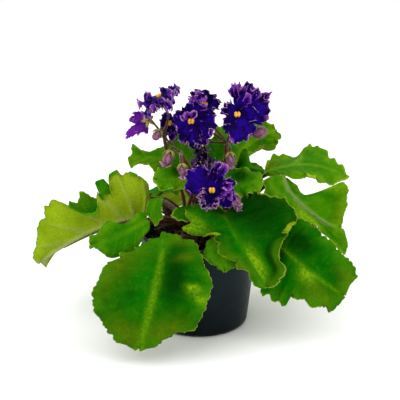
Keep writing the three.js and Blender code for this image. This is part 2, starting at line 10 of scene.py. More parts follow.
import bpy
import numpy as np
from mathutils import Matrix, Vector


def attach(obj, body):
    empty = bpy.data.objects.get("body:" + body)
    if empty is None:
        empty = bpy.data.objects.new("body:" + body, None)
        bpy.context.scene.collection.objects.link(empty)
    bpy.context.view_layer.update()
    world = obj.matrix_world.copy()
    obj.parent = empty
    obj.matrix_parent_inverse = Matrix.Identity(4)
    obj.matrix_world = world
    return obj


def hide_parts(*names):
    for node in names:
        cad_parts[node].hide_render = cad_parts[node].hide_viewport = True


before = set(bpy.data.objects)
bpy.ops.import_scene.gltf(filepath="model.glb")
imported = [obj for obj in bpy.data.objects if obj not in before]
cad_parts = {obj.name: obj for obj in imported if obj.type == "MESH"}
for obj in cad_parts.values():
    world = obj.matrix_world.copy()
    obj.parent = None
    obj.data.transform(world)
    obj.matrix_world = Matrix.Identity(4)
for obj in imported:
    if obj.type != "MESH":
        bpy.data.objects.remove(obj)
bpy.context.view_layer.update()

MM = 0.001

# ---------------------------------------------------------------- driving dimensions

# step is how much further the pot's lip stands out than its wall, hole the radius of a drain hole and ring
# that of the circle they stand on. lump is the height of the soil's swells and sink its fall to the wall.
POT = dict(height=88, rim=55, base=43, wall=1.4, floor=2, lip=7, step=1.6, corner=6,
           holes=8, hole=4, ring=30)
SOIL = dict(top=79, bottom=55, lump=1.6, sink=3.5, slope=12, crumbs=900, grit=130)
CROWN = dict(radius=9, foot=60, shoulder=104, top=108)
GAP = 0.3
STALK_START = CROWN["radius"] + 0.6
STALK_ARCH = 4
# lean draws the side veins' starts towards the stalk, widest is the place along the rib of the broadest part
# and notch the share of the edge before the first side vein.
BLADE = dict(thickness=0.9, lean=1.5, widest=0.45, notch=0.05)
# root is how far out a petal starts and fan how many degrees its edge runs to each side of its tip. wave and
# tooth are lengths along the edge, ruffle and tooth_height what stands up or out there, ruffle_depth and roll
# how much of the edge ruffles and rolls, the latter by up to roll_turn degrees. pleat is a share of the width
# and crinkle a height. A frill starts at the share frill_start of its length, or ring_start if it cups by
# RING_CUP.
PETAL = dict(thickness=0.5, root=1.2, tilt=0.9, bow=1.0, cup=1.5, fan=150, rows=26, frill_rows=15,
             wave=3.8, ruffle=2.5, ruffle_depth=5, tooth=1.3, tooth_height=0.45, roll=4.5, roll_turn=150,
             pleat=0.05, crinkle=0.35, frill_start=0.5, ring_start=0.72)
RING_CUP = 7
TUBE = dict(radius=2.4, length=6)
TUBE_HEEL = TUBE["length"] - 0.8
ANTHER = dict(out=4.5, apart=1.25, wide=1.6, tall=2.5, deep=1.5, seam=0.16)
BUD_LENGTH = 1.35
# heel is the room for the sepals behind a head. They lean by the first angle at their foot and by the second
# at their tip, away from the way the head looks.
SEPAL = dict(length=7, heel=1.3, half_width=1.35, thickness=0.56, lean_open=(81, 52), lean_shut=(85, -5))
SPRAY_RING = 4.5
# Radii of the rods from foot to end, and lengths and numbers of the hairs.
RODS = dict(style=[0.5, 0.42, 0.36, 0.5], stem=[2.1, 1.9, 1.7, 1.5], side_stalk=[1.1, 0.9, 0.9, 1.2],
            stub=[2.8, 2.4, 1.9, 1.1])
HAIRS = dict(leaf_stalk=1.5, leaf_edge=0.9, bud=1.3, sepal=1.1, stem=1.4, crown=1.6)
HAIR_NUMBERS = dict(bud=260, crown=700, stub=90)
STEM_HAIR_SHARE = 0.7
SEEDS = dict(leaves=100, blooms=300, buds=400, sprays=500, soil=600, crown=601, stubs=602)

# Where each leaf stands. ring: height on the crown of the stalk's foot; turn: its direction in degrees,
# 0 to the right and 90 to the back. base, belly and tip are points of the midrib; left and right the
# places that the two edges pass. bow lifts the middle of each half; frill is the height of the waves at
# the edge, lobe how far they reach out, waves their number on each side. Where they are given, lean stands
# for BLADE's, skin names the leaf's colour, calm is the share left of its random ripple and curl, ribbon a
# pale band on the rib (half its width at the stalk and at the tip, and its strength) and crest a raised rib.
LEAVES = [
    dict(name="leaf_front_left", big=True, ring=84, turn=248, skin="deep", ribbon=(1.4, 5, 0.5),
         base=(-31, -70, 96), belly=(-39, -101, 65), tip=(-52, -100, 16),
         left=[(-33, -60, 105), (-12, -62, 103), (5, -76, 90), (10, -88, 66), (-3, -96, 35)],
         right=[(-29, -60, 102), (-51, -64, 98), (-79, -76, 82), (-92, -86, 59), (-80, -95, 32)],
         bow=(3, 3), frill=2.2, lobe=1.5, waves=4),
    dict(name="leaf_left", big=True, ring=84, turn=183, calm=0.3,
         base=(-49, -8, 101), belly=(-92, -14, 93), tip=(-146, -12, 61),
         left=[(-47, -8, 137), (-72, -18, 146), (-90, -24, 139), (-106, -26, 126), (-128, -24, 123),
               (-142, -20, 102), (-149, -16, 79)],
         right=[(-56, 26, 112), (-84, 36, 108), (-116, 30, 98), (-142, 10, 82)],
         bow=(-4, -9), frill=6, lobe=4, waves=5),
    dict(name="leaf_left_front", big=False, ring=92, turn=214, calm=0.6,
         base=(-46, -36, 111), belly=(-69, -53, 102), tip=(-95, -60, 96),
         left=[(-46, -42, 99), (-59, -52, 86), (-76, -61, 84), (-88, -62, 92)],
         right=[(-52, -34, 116), (-66, -44, 108), (-80, -48, 113), (-87, -55, 108)],
         bow=(3, 3), frill=2.2, lobe=1.2, waves=3),
    dict(name="leaf_front_right", big=True, ring=92, turn=290, skin="deep",
         base=(21, -42, 120), belly=(36, -72, 99), tip=(56, -86, 66),
         left=[(35, -30, 127), (42, -28, 133), (51, -30, 133), (60, -34, 130), (74, -38, 131),
               (84, -45, 113), (68, -62, 94), (73, -78, 78)],
         right=[(3, -34, 125), (-13, -46, 115), (-5, -58, 105), (14, -66, 98), (19, -74, 89),
                (40, -82, 78)],
         bow=(-5, 3), frill=3.4, lobe=2, waves=5),
    dict(name="leaf_right_front", big=True, ring=84, turn=325, skin="deep", ribbon=(0.8, 1.6, 0.35),
         base=(67, -44, 91), belly=(95, -64, 72), tip=(125, -64, 50),
         left=[(77, -36, 112), (103, -42, 106), (121, -52, 88), (135, -58, 70)],
         right=[(53, -58, 77), (53, -68, 56), (72, -74, 46), (92, -74, 47), (113, -70, 38)],
         bow=(3, 3), frill=2.6, lobe=1.5, waves=4),
    dict(name="leaf_front_low", big=False, ring=84, turn=282,
         base=(12, -57, 101), belly=(19, -64, 89), tip=(21, -66, 73),
         left=[(33, -58, 94), (37, -64, 81)],
         right=[(4, -58, 95), (7, -64, 81)],
         bow=(2, 2), frill=1.6, lobe=1, waves=2),
    dict(name="leaf_right_back", big=True, ring=92, turn=22, skin="bright", calm=0.3,
         base=(59, 22, 135), belly=(98, 34, 140), tip=(138, 36, 126),
         left=[(64, 44, 144), (94, 64, 142), (105, 66, 150), (121, 60, 144), (133, 48, 136)],
         right=[(63, 12, 135), (81, 8, 135), (105, 10, 132), (119, 20, 125)],
         bow=(-2, 3), frill=3, lobe=1.6, waves=5),
    dict(name="leaf_right", big=True, ring=84, turn=352, skin="bright", calm=0.5, crest=True,
         base=(75, -2, 141), belly=(89, -12, 114), tip=(127, -10, 92),
         left=[(88, 8, 127), (101, 6, 118), (118, 6, 127), (131, 4, 132), (134, 0, 112)],
         right=[(57, -14, 139), (60, -22, 126), (76, -26, 122), (91, -28, 106), (106, -28, 97),
                (119, -24, 82), (129, -18, 71), (132, -15, 81), (130, -12, 88)],
         bow=(-3, 2), frill=1.6, lobe=1.2, waves=4, lean=1.15),
    dict(name="leaf_back_right", big=True, ring=92, turn=58, skin="bright",
         base=(29, 22, 136), belly=(43, 44, 155), tip=(73, 60, 167),
         left=[(15, 38, 143), (12, 52, 161), (21, 60, 171), (40, 64, 173), (59, 64, 175)],
         right=[(40, 28, 146), (54, 40, 154), (68, 50, 152), (75, 56, 161)],
         bow=(-3, -3), frill=5, lobe=4, waves=5),
    dict(name="leaf_back_left", big=False, ring=92, turn=140, skin="bright", calm=0.6,
         base=(-26, 28, 140), belly=(-44, 40, 145), tip=(-67, 50, 140),
         left=[(-32, 22, 134), (-46, 30, 138), (-56, 38, 139), (-63, 46, 134)],
         right=[(-26, 38, 153), (-39, 48, 153), (-50, 54, 147), (-62, 58, 149)],
         bow=(2, 2), frill=3.6, lobe=3, waves=3),
    dict(name="leaf_back", big=True, ring=84, turn=88,
         base=(4, 62, 108), belly=(6, 98, 98), tip=(8, 124, 62),
         left=[(-22, 58, 108), (-42, 84, 90), (-32, 114, 72)],
         right=[(30, 58, 108), (52, 86, 88), (42, 116, 70)],
         bow=(4, 4), frill=3.4, lobe=1.5, waves=4),
    dict(name="leaf_back_low_left", big=True, ring=84, turn=130,
         base=(-42, 56, 102), belly=(-68, 82, 94), tip=(-84, 104, 58),
         left=[(-60, 40, 104), (-94, 58, 84), (-100, 86, 62)],
         right=[(-34, 78, 104), (-46, 108, 82), (-66, 118, 60)],
         bow=(4, 4), frill=3.4, lobe=1.5, waves=4),
    dict(name="leaf_back_low_right", big=True, ring=84, turn=46,
         base=(50, 50, 102), belly=(78, 76, 92), tip=(98, 96, 56),
         left=[(42, 72, 104), (54, 104, 82), (78, 116, 58)],
         right=[(68, 36, 102), (106, 54, 80), (112, 80, 58)],
         bow=(4, 4), frill=3.4, lobe=1.5, waves=4),
    dict(name="leaf_inner_left", big=False, ring=99, turn=200,
         base=(-6, -21, 143), belly=(-23, -32, 146), tip=(-41, -38, 147),
         left=[(-10, -28, 136), (-22, -38, 138), (-35, -42, 140)],
         right=[(-11, -21, 152), (-26, -25, 155), (-38, -32, 154)],
         bow=(3, 2), frill=3, lobe=0.7, waves=4),
    dict(name="leaf_inner_right", big=False, ring=99, turn=8, skin="deep",
         base=(31, 4, 137), belly=(44, 8, 144), tip=(60, 8, 140),
         left=[(33, 14, 150), (42, 20, 159), (47, 16, 147), (56, 14, 144)],
         right=[(37, -4, 137), (48, 0, 138)],
         bow=(-1, 1), frill=2.4, lobe=1.2, waves=3),
    dict(name="leaf_inner_front_right", big=False, ring=99, turn=336,
         base=(26, -18, 134), belly=(40, -24, 139), tip=(55, -24, 142),
         left=[(22, -10, 148), (32, -10, 150), (43, -12, 149), (54, -16, 145)],
         right=[(31, -28, 131), (44, -32, 131), (53, -30, 135)],
         bow=(2, 2), frill=2.8, lobe=1.1, waves=4),
    dict(name="leaf_inner_back_left", big=False, ring=99, turn=112,
         base=(-9, 20, 138), belly=(-16, 28, 154), tip=(-24, 34, 172),
         left=[(-24, 20, 138), (-32, 26, 155)],
         right=[(-2, 26, 144), (-5, 34, 162)],
         bow=(-1, -1), frill=2, lobe=1, waves=3),
    dict(name="leaf_inner_back", big=False, ring=99, turn=68, skin="deep",
         base=(9, 22, 134), belly=(13, 30, 149), tip=(17, 36, 170),
         left=[(3, 24, 140), (1, 31, 157)],
         right=[(17, 24, 140), (25, 33, 156)],
         bow=(-1, -1), frill=2, lobe=1, waves=3),
    dict(name="leaf_young_front", big=False, ring=99, turn=250, skin="deep",
         base=(-6, -30, 121), belly=(-16, -38, 117), tip=(-25, -44, 116),
         left=[(-9, -44, 113), (-17, -46, 112)],
         right=[(-11, -30, 120), (-21, -36, 121)],
         bow=(1, 1), frill=0.8, lobe=0.5, waves=2),
    dict(name="leaf_young_left", big=False, ring=92, turn=241,
         base=(-32, -26, 128), belly=(-41, -34, 122), tip=(-38, -42, 106),
         left=[(-33, -36, 123), (-33, -42, 114)],
         right=[(-45, -30, 124), (-46, -38, 115)],
         bow=(1, 1), frill=1.6, lobe=1, waves=3),
]

# at: a head's throat or middle; face: the way it looks. A petal is the place of its tip and its width, and in
# one case its cup and how lilac it is. via: a place that the side stalk passes on its way to the head.
BLOOMS = [
    dict(name="bloom_left_top", at=(-34, -6, 210), face=(-0.43, 0.05, 0.9), ruffle=1.1,
         petals=[(-54, -2, 204, 22), (-46, -25, 198, 22), (-21, -24, 215, 20), (-18, 2, 220, 22),
                 (-38, 22, 208, 27)]),
    dict(name="bloom_left_side", at=(-47, -4, 191), face=(-0.35, 0.9, -0.25), ruffle=1.2,
         petals=[(-58, -6, 198, 12), (-62, -6, 193, 10), (-51, 0, 199, 10), (-66, -8, 176, 8),
                 (-48, -6, 178, 7), (-56, -8, 178, 6)]),
    dict(name="bloom_left_back", at=(-27, 20, 181), face=(-0.2, -0.75, 0.6), via=(-25, 24, 163),
         petals=[(-34, 22, 191, 13), (-21, 22, 190, 13), (-18, 14, 179, 14), (-26, 12, 171, 14),
                 (-35, 16, 177, 12)]),
    dict(name="bloom_centre", at=(-7, -22, 195), face=(-0.15, -0.95, 0.25),
         petals=[(-23, -24, 190, 26), (-16, -14, 207, 20), (3, -14, 208, 22), (15, -20, 191, 28),
                 (7, -26, 177, 22), (-10, -28, 174, 24)]),
    dict(name="bloom_centre_back", at=(4, 8, 201), face=(0.05, -0.8, 0.6),
         petals=[(-8, 8, 214, 17), (-13, 0, 206, 12), (11, 10, 214, 20), (18, 2, 204, 20),
                 (4, 0, 191, 18)]),
    dict(name="bloom_right", at=(32, -14, 199), face=(0.05, -0.95, 0.25),
         petals=[(60, -8, 211, 33), (46, 0, 223, 20), (18, -19, 200, 26),
                 (36, -28, 177, 28), (51, -14, 198, 16)]),
    dict(name="bloom_front_low", at=(10, -50, 142), face=(0.02, -0.97, 0.15),
         petals=[(-11, -47, 157, 28), (17, -46, 163, 16), (32, -48, 147, 18), (31, -54, 131, 18),
                 (6, -60, 128, 23, 7, 0)]),
    dict(name="bloom_spent", at=(3, -4, 157), face=(0.1, -0.6, -0.75), spent=True,
         petals=[(-7, -10, 153, 13), (-1, -14, 149, 14), (9, -14, 150, 14), (13, -8, 156, 13),
                 (3, -16, 166, 12), (-5, -5, 150, 14), (-2, 3, 167, 14)]),
]
BUDS = [
    dict(name="bud_left_low", at=(-38, -14, 180), face=(-0.5, -0.6, -0.6), radius=3.6),
    dict(name="bud_arch", at=(-28, -20, 161), face=(-0.35, -0.3, -0.9), radius=4.6, fringe=9),
    dict(name="bud_arch_low", at=(-15, -38, 155), face=(0.1, -0.4, -0.9), radius=3.6, fringe=6),
    dict(name="bud_right_high", at=(53, -6, 181), face=(0.7, -0.5, 0.3), radius=5.4),
    dict(name="bud_right_low", at=(27, -12, 158), face=(0.1, -0.4, -0.9), radius=3.8, fringe=5),
    dict(name="bud_front", at=(31, -40, 128), face=(0.4, -0.3, -0.85), radius=4.2, fringe=9),
]
SPRAYS = [
    dict(name="spray_left", turn=170, via=[(-26, 3, 148)], fork=(-32, -6, 178),
         heads=["bloom_left_top", "bloom_left_side", "bloom_left_back", "bud_left_low"]),
    dict(name="spray_arch", turn=230, via=[(-8, -12, 146)], fork=(-17, -18, 166),
         heads=["bud_arch", "bud_arch_low"]),
    dict(name="spray_right", turn=20, via=[(20, 2, 140)], fork=(24, 0, 170),
         heads=["bloom_centre", "bloom_centre_back", "bloom_right", "bloom_spent", "bud_right_high",
                "bud_right_low"]),
    dict(name="spray_front", turn=290, via=[(6, -14, 128)], fork=(9, -24, 140),
         heads=["bloom_front_low", "bud_front"]),
]
# Small frills on and between the petals: the place of the tip, the width, the cup and how lilac, 0 to 1.
FRILLS = {
    "bloom_left_top": [(-20, -16, 222, 8, 2, 0.2), (-18, -24, 218, 9, 3, 0.4), (-24, -28, 212, 9, 3, 0.2),
                       (-26, -27, 208, 8, -2, 0.4), (-49, -4, 211, 8, 3, 0.3), (-43, -25, 206, 10, -2, 0),
                       (-49, -24, 201, 9, -2, 0.2), (-38, -24, 206, 9, -2, 0.1)],
    "bloom_left_back": [(-20, 8, 176, 9, 3, 0.4), (-29, 8, 172, 9, 3, 0.2), (-24, 8, 169, 9, 2, 0.5)],
    "bloom_centre": [(-12, -28, 206, 8, 4, 0.9), (-2, -29, 207, 7, 5, 0.8), (-17, -26, 203, 8, 4, 0.9),
                     (2, -24, 172, 14, 2, 0), (-5, -26, 170, 12, 2, 0)],
    "bloom_centre_back": [(-5, 3, 215, 11, 3, 1), (2, 1, 212, 10, 3, 1), (-2, -1, 208, 9, 4, 1),
                          (-12, -2, 207, 9, 3, 1)],
    "bloom_right": [(44, -11, 217, 9, 5, 1), (62, -4, 216, 9, 4, 1), (52, -5, 220, 11, 3, 0.8),
                    (38, -3, 222, 9, 3, 1), (21, -14, 211, 5, 4, 0.3), (18, -18, 204, 8, 4, 0.3),
                    (28, 1, 222, 10, 4, 1), (33, 1, 224, 10, 3, 1), (47, -3, 224, 9, 3, 0.5)],
    "bloom_front_low": [(17, -48, 169, 9, 4, 1), (22, -49, 166, 9, 4, 0.9), (29, -53, 149, 9, 5, 1),
                        (26, -55, 143, 9, 5, 1), (30, -54, 137, 9, 5, 1), (32, -50, 134, 8, 3, 0.9),
                        (0, -58, 145, 7, 7, 0.3), (-3, -59, 141, 7, 7, 0.3), (-4, -60, 137, 7, 7, 0.2),
                        (-3, -60, 132, 7, 7, 0.2), (0, -61, 128, 8, 7, 0.2), (5, -61, 125, 8, 7, 0.2),
                        (11, -61, 126, 8, 7, 0.2), (16, -60, 129, 8, 7, 0.3), (19, -58, 134, 8, 7, 0.6)],
    "bloom_spent": [(-9, -11, 158, 9, 3, 0.6), (-2, -10, 163, 9, 3, 0.8), (9, -12, 160, 9, 3, 0.4),
                    (11, -10, 151, 9, 3, 0.7), (3, -16, 148, 9, 3, 0.5), (-7, -14, 150, 9, 3, 0.8),
                    (4, -6, 169, 12, 2, 0.2), (-4, -6, 167, 10, 2, 0.1)],
}

HEADS = {head["name"]: head for head in BLOOMS + BUDS}

# ---------------------------------------------------------------- curves and fields


def smooth(a, b, x):
    """0 below a, 1 above b, and a soft step between them."""
    t = np.clip((x - a) / (b - a), 0, 1)
    return t * t * (3 - 2 * t)


def unit(v):
    v = np.asarray(v, float)
    return v / np.maximum(np.linalg.norm(v, axis=-1, keepdims=True), 1e-9)


class Wobble:
    """A soft random function of one number, with values near -1 to 1 and bends about `size` long."""

    def __init__(self, rng, size, parts=5):
        self.rate = 2 * math.pi / (size * rng.uniform(0.7, 2.4, parts))
        self.phase = rng.uniform(0, 2 * math.pi, parts)

    def __call__(self, x):
        waves = np.sin(np.asarray(x, float)[..., None] * self.rate + self.phase)
        return waves.sum(-1) / math.sqrt(len(self.rate))


class Path:
    """A smooth curve through points, read by the share of its length."""

    def __init__(self, points, steps=40):
        p = np.array(points, float)
        p = np.vstack([2 * p[0] - p[1], p, 2 * p[-1] - p[-2]])
        spans = []
        for i in range(len(p) - 3):
            p0, p1, p2, p3 = p[i:i + 4]
            gaps = [max(np.linalg.norm(b - a), 1e-6) ** 0.5 for a, b in ((p0, p1), (p1, p2), (p2, p3))]
            t0, t1, t2, t3 = np.cumsum([0, *gaps])
            t = np.linspace(t1, t2, steps + 1)[:-1, None]
            a1 = ((t1 - t) * p0 + (t - t0) * p1) / (t1 - t0)
            a2 = ((t2 - t) * p1 + (t - t1) * p2) / (t2 - t1)
            a3 = ((t3 - t) * p2 + (t - t2) * p3) / (t3 - t2)
            b1 = ((t2 - t) * a1 + (t - t0) * a2) / (t2 - t0)
            b2 = ((t3 - t) * a2 + (t - t1) * a3) / (t3 - t1)
            spans.append(((t2 - t) * b1 + (t - t1) * b2) / (t2 - t1))
        self.line = np.vstack([*spans, p[-2][None]])
        self.far = np.r_[0, np.cumsum(np.linalg.norm(np.diff(self.line, axis=0), axis=1))]
        self.length = self.far[-1]

    def at(self, share):
        want = np.asarray(share, float) * self.length
        return np.stack([np.interp(want, self.far, self.line[:, k]) for k in range(3)], -1)


def carried(v, a, b):
    """v turned by the turn that takes each unit vector a to b."""
    axis = np.cross(a, b)
    cosine = (a * b).sum(-1)[..., None]
    return cosine * v + np.cross(axis, v) + axis * (axis * v).sum(-1)[..., None] / (1 + cosine)


def build_all(build, rows, seed):
    """Builds each row of a table, with random numbers of its own."""
    for number, row in enumerate(rows):
        build(row, np.random.default_rng(seed + number))


def facing(face):
    """Columns: the side, the top and the front of a head that looks along face."""
    front = unit(face)
    side = unit(np.cross((0, 0, 1), front))
    return np.stack([side, np.cross(front, side), front], -1)


def compass(angle, reach=1.0):
    """A level vector of that length, `angle` radians round from +X."""
    return np.array([reach * math.cos(angle), reach * math.sin(angle), 0])


def turns(count):
    """That many angles, evenly round the circle."""
    return np.linspace(0, 2 * math.pi, count, endpoint=False)


def stacked(*parts):
    """An array of points from its x, y and z, each a grid, a row, a column or one number."""
    return np.stack(np.broadcast_arrays(*parts), -1)


# ---------------------------------------------------------------- meshes


class Shape:
    """Points, faces and point fields that grow into one mesh."""

    def __init__(self):
        self.points, self.faces, self.fields, self.count = [], [], {}, 0

    def add(self, points, faces, **fields):
        points = np.asarray(points, float).reshape(-1, 3)
        for name in {**self.fields, **fields}:
            value = np.broadcast_to(np.asarray(fields.get(name, 0.0), float).ravel(), len(points))
            self.fields.setdefault(name, [np.zeros(self.count)] if self.count else []).append(value)
        self.faces += [tuple(int(k) + self.count for k in face) for face in faces]
        self.points.append(points)
        self.count += len(points)

    def build(self, name, material, slot, *nodes):
        """Makes the piece, which rides on the root and stands for the nodes."""
        mesh = bpy.data.meshes.new(name)
        mesh.from_pydata((np.vstack(self.points) * MM).tolist(), [], self.faces)
        mesh.validate()
        for field, values in self.fields.items():
            layer = mesh.attributes.new(field, "FLOAT", "POINT")
            layer.data.foreach_set("value", np.concatenate(values).astype(np.float32))
        mesh.polygons.foreach_set("use_smooth", np.ones(len(mesh.polygons), bool))
        mesh.materials.append(material)
        piece = bpy.data.objects.new(name, mesh)
        bpy.context.scene.collection.objects.link(piece)
        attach(piece, "root")
        if nodes:
            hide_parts(*nodes)
        return piece


def grid_faces(rows, columns, start=0, flip=False, closed=False):
    """Quads of a grid of points; closed joins the last column to the first."""
    i, j = np.meshgrid(np.arange(rows - 1), np.arange(columns if closed else columns - 1), indexing="ij")
    k = (j + 1) % columns
    quad = np.stack([i * columns + j, i * columns + k, (i + 1) * columns + k, (i + 1) * columns + j], -1)
    quad = quad.reshape(-1, 4) + start
    return (quad[:, ::-1] if flip else quad).tolist()


def sheet(shape, grid, above, below, **fields):
    """A thin closed sheet on a grid of points, `above` and `below` thick. Returns the upward directions."""
    rows, columns = grid.shape[:2]
    normal = unit(np.cross(np.gradient(grid, axis=0), np.gradient(grid, axis=1)))
    upper = grid + normal * np.asarray(above)[..., None]
    lower = grid - normal * np.asarray(below)[..., None]
    count = rows * columns
    faces = grid_faces(rows, columns, flip=True) + grid_faces(rows, columns, count)
    ring = [*range(columns), *range(2 * columns - 1, count, columns)]
    ring += [*range(count - 2, count - columns - 1, -1), *range(count - 2 * columns, 0, -columns)]
    for a, b in zip(ring, ring[1:] + ring[:1]):
        faces.append((a, b, b + count, a + count))
    both = {"under": np.r_[np.zeros(count), np.ones(count)]}
    for name, value in fields.items():
        both[name] = np.tile(np.broadcast_to(value, (rows, columns)).ravel(), 2)
    shape.add(np.vstack([upper.reshape(-1, 3), lower.reshape(-1, 3)]), faces, **both)
    return normal


def solid(shape, rings, ends, place=None, flip=False, **fields):
    """A closed body on rings of points, shut by a fan to one point at each end. Returns all its points."""
    rows, sides = rings.shape[:2]
    count = rows * sides
    last = count - sides
    faces = grid_faces(rows, sides, closed=True)
    faces += [(k, count, (k + 1) % sides) for k in range(sides)]
    faces += [(last + k, last + (k + 1) % sides, count + 1) for k in range(sides)]
    if flip:
        faces = [face[::-1] for face in faces]
    points = np.vstack([rings.reshape(-1, 3), ends])
    if place is not None:
        points = place(points)
    shape.add(points, faces, **fields)
    return points


def tube(shape, points, radii, sides, steps, bumps=None):
    """A round closed rod along the points. Returns its rings of points and their outward directions."""
    path = Path(points)
    share = np.linspace(0, 1, steps + 1)
    centre = path.at(share)
    tangent = unit(np.gradient(centre, axis=0))
    normals = [unit(np.cross(tangent[0], (0.3, 0.5, 0.8)))]
    for a, b in zip(tangent, tangent[1:]):
        normals.append(unit(carried(normals[-1], a, b)))
    normals = np.array(normals)
    sideways = np.cross(tangent, normals)
    angle = turns(sides)
    out = normals[:, None] * np.cos(angle)[:, None] + sideways[:, None] * np.sin(angle)[:, None]
    radius = np.interp(share * (len(radii) - 1), range(len(radii)), radii)[:, None] * np.ones(sides)
    if bumps is not None:
        radius = radius * (1 + bumps(share[:, None] * path.length, angle))
    rings = centre[:, None] + out * radius[..., None]
    ends = [centre[0] - tangent[0] * radii[0] * 0.3, centre[-1] + tangent[-1] * radii[-1] * 0.3]
    solid(shape, rings, ends, along=np.r_[np.repeat(share, sides), 0, 1])
    return rings, out


def lathe(shape, profile, sides, place=None, **fields):
    """A body of revolution about Z. The profile starts and ends on the axis."""
    profile = np.array(profile, float)
    radius, z = profile[1:-1, :1], profile[1:-1, 1:]
    angle = turns(sides)
    ends = [(0, 0, profile[0, 1]), (0, 0, profile[-1, 1])]
    solid(shape, stacked(radius * np.cos(angle), radius * np.sin(angle), z), ends, place, **fields)


HAIR_CORNERS = (0, 2.094, 4.189)


def hairs(shape, rng, roots, ways, length, radius=0.055):
    """Fine closed spikes that stand on the roots and lean a little at random."""
    roots = np.asarray(roots, float)
    ways = unit(unit(ways) + rng.normal(0, 0.28, roots.shape))
    side = unit(np.cross(ways, unit(rng.normal(0, 1, roots.shape))))
    other = np.cross(ways, side)
    reach = length * rng.uniform(0.55, 1.25, (len(roots), 1))
    corners = [roots + radius * (math.cos(a) * side + math.sin(a) * other) - 0.1 * ways for a in HAIR_CORNERS]
    points = np.stack([*corners, roots + ways * reach], 1).reshape(-1, 3)
    base = 4 * np.arange(len(roots))[:, None, None]
    faces = base + np.array([(0, 2, 1), (0, 1, 3), (1, 2, 3), (2, 0, 3)])
    shape.add(points, faces.reshape(-1, 3).tolist())


def scattered_hairs(shape, rng, roots, ways, number, length):
    """Hairs on that many of the points, picked at random."""
    roots, ways = roots.reshape(-1, 3), ways.reshape(-1, 3)
    pick = rng.choice(len(roots), number, replace=False)
    hairs(shape, rng, roots[pick], ways[pick], length)


# ---------------------------------------------------------------- materials


def linear(colour):
    """A colour written as six hex digits, as the renderer's linear numbers."""
    parts = [int(colour[k:k + 2], 16) / 255 for k in (0, 2, 4)]
    return [c / 12.92 if c <= 0.04045 else ((c + 0.055) / 1.055) ** 2.4 for c in parts] + [1.0]


class Finish:
    """A material whose colour, roughness and bump come from nodes."""

    def __init__(self, name, **numbers):
        self.material = bpy.data.materials.new(name)
        self.material.use_nodes = True
        self.tree = self.material.node_tree
        self.shader = self.tree.nodes["Principled BSDF"]
        self.place = self.tree.nodes.new("ShaderNodeTexCoord").outputs["Object"]
        for socket, value in numbers.items():
            self.shader.inputs[socket.replace("_", " ")].default_value = value

    def put(self, socket, value):
        if isinstance(value, bpy.types.NodeSocket):
            self.tree.links.new(value, socket)
        else:
            socket.default_value = linear(value) if isinstance(value, str) else value

    def node(self, kind, **inputs):
        """A new node with these values or links on its inputs."""
        node = self.tree.nodes.new("ShaderNode" + kind)
        for socket, value in inputs.items():
            self.put(node.inputs[socket.replace("_", " ")], value)
        return node

    def noise(self, size, detail=3, rough=0.55, stretch=None):
        """Noise of about that size in millimetres."""
        place = self.place
        if stretch:
            place = self.node("Mapping", Vector=place, Scale=stretch).outputs["Vector"]
        node = self.node("TexNoise", Vector=place, Scale=1000 / size, Detail=detail, Roughness=rough)
        return node.outputs["Fac"]

    def cells(self, size):
        """Soft round cells of about that size in millimetres."""
        node = self.node("TexVoronoi", Vector=self.place, Scale=1000 / size)
        node.feature = "SMOOTH_F1"
        node.inputs["Smoothness"].default_value = 0.6
        return node.outputs["Distance"]

    def height(self):
        """Height over the floor in metres."""
        return self.node("SeparateXYZ", Vector=self.place).outputs["Z"]

    def field(self, name):
        node = self.node("Attribute")
        node.attribute_name = name
        return node.outputs["Fac"]

    def ramp(self, value, low, high, to_low=0.0, to_high=1.0):
        """A soft step of the value from low to high."""
        node = self.node("MapRange", Value=value, From_Min=low, From_Max=high, To_Min=to_low, To_Max=to_high)
        node.interpolation_type = "SMOOTHSTEP"
        return node.outputs["Result"]

    def spots(self, grain, *step):
        """Noise as a soft step: the noise's own numbers first, then the step's."""
        return self.ramp(self.noise(*grain), *step)

    def math(self, kind, a, b):
        node = self.node("Math")
        node.operation = kind
        self.put(node.inputs[0], a)
        self.put(node.inputs[1], b)
        return node.outputs[0]

    def times(self, a, b):
        return self.math("MULTIPLY", a, b)

    def mix(self, share, a, b):
        node = self.node("Mix")
        node.data_type = "RGBA"
        for socket, value in ((0, share), (6, a), (7, b)):
            self.put(node.inputs[socket], value)
        return node.outputs[2]

    def bump(self, height, depth, strength):
        """Bump whose height is `depth` millimetres."""
        node = self.node("Bump", Height=height, Distance=depth * MM, Strength=strength)
        self.put(self.shader.inputs["Normal"], node.outputs["Normal"])

    def colour(self, value):
        self.put(self.shader.inputs["Base Color"], value)

    def roughness(self, grain, low, high):
        """Roughness that follows a noise between two numbers."""
        self.put(self.shader.inputs["Roughness"], self.ramp(grain, 0.3, 0.7, low, high))


def grainy_finish(name, colours, share, rough_grain, rough, bump_grain, depth, strength, **numbers):
    """Two colours that mix by spots, and a roughness and a bump after a noise each."""
    f = Finish(name, **numbers)
    f.colour(f.mix(f.spots(*share), *colours))
    f.roughness(f.noise(*rough_grain), *rough)
    f.bump(f.noise(*bump_grain), depth, strength)
    return f.material


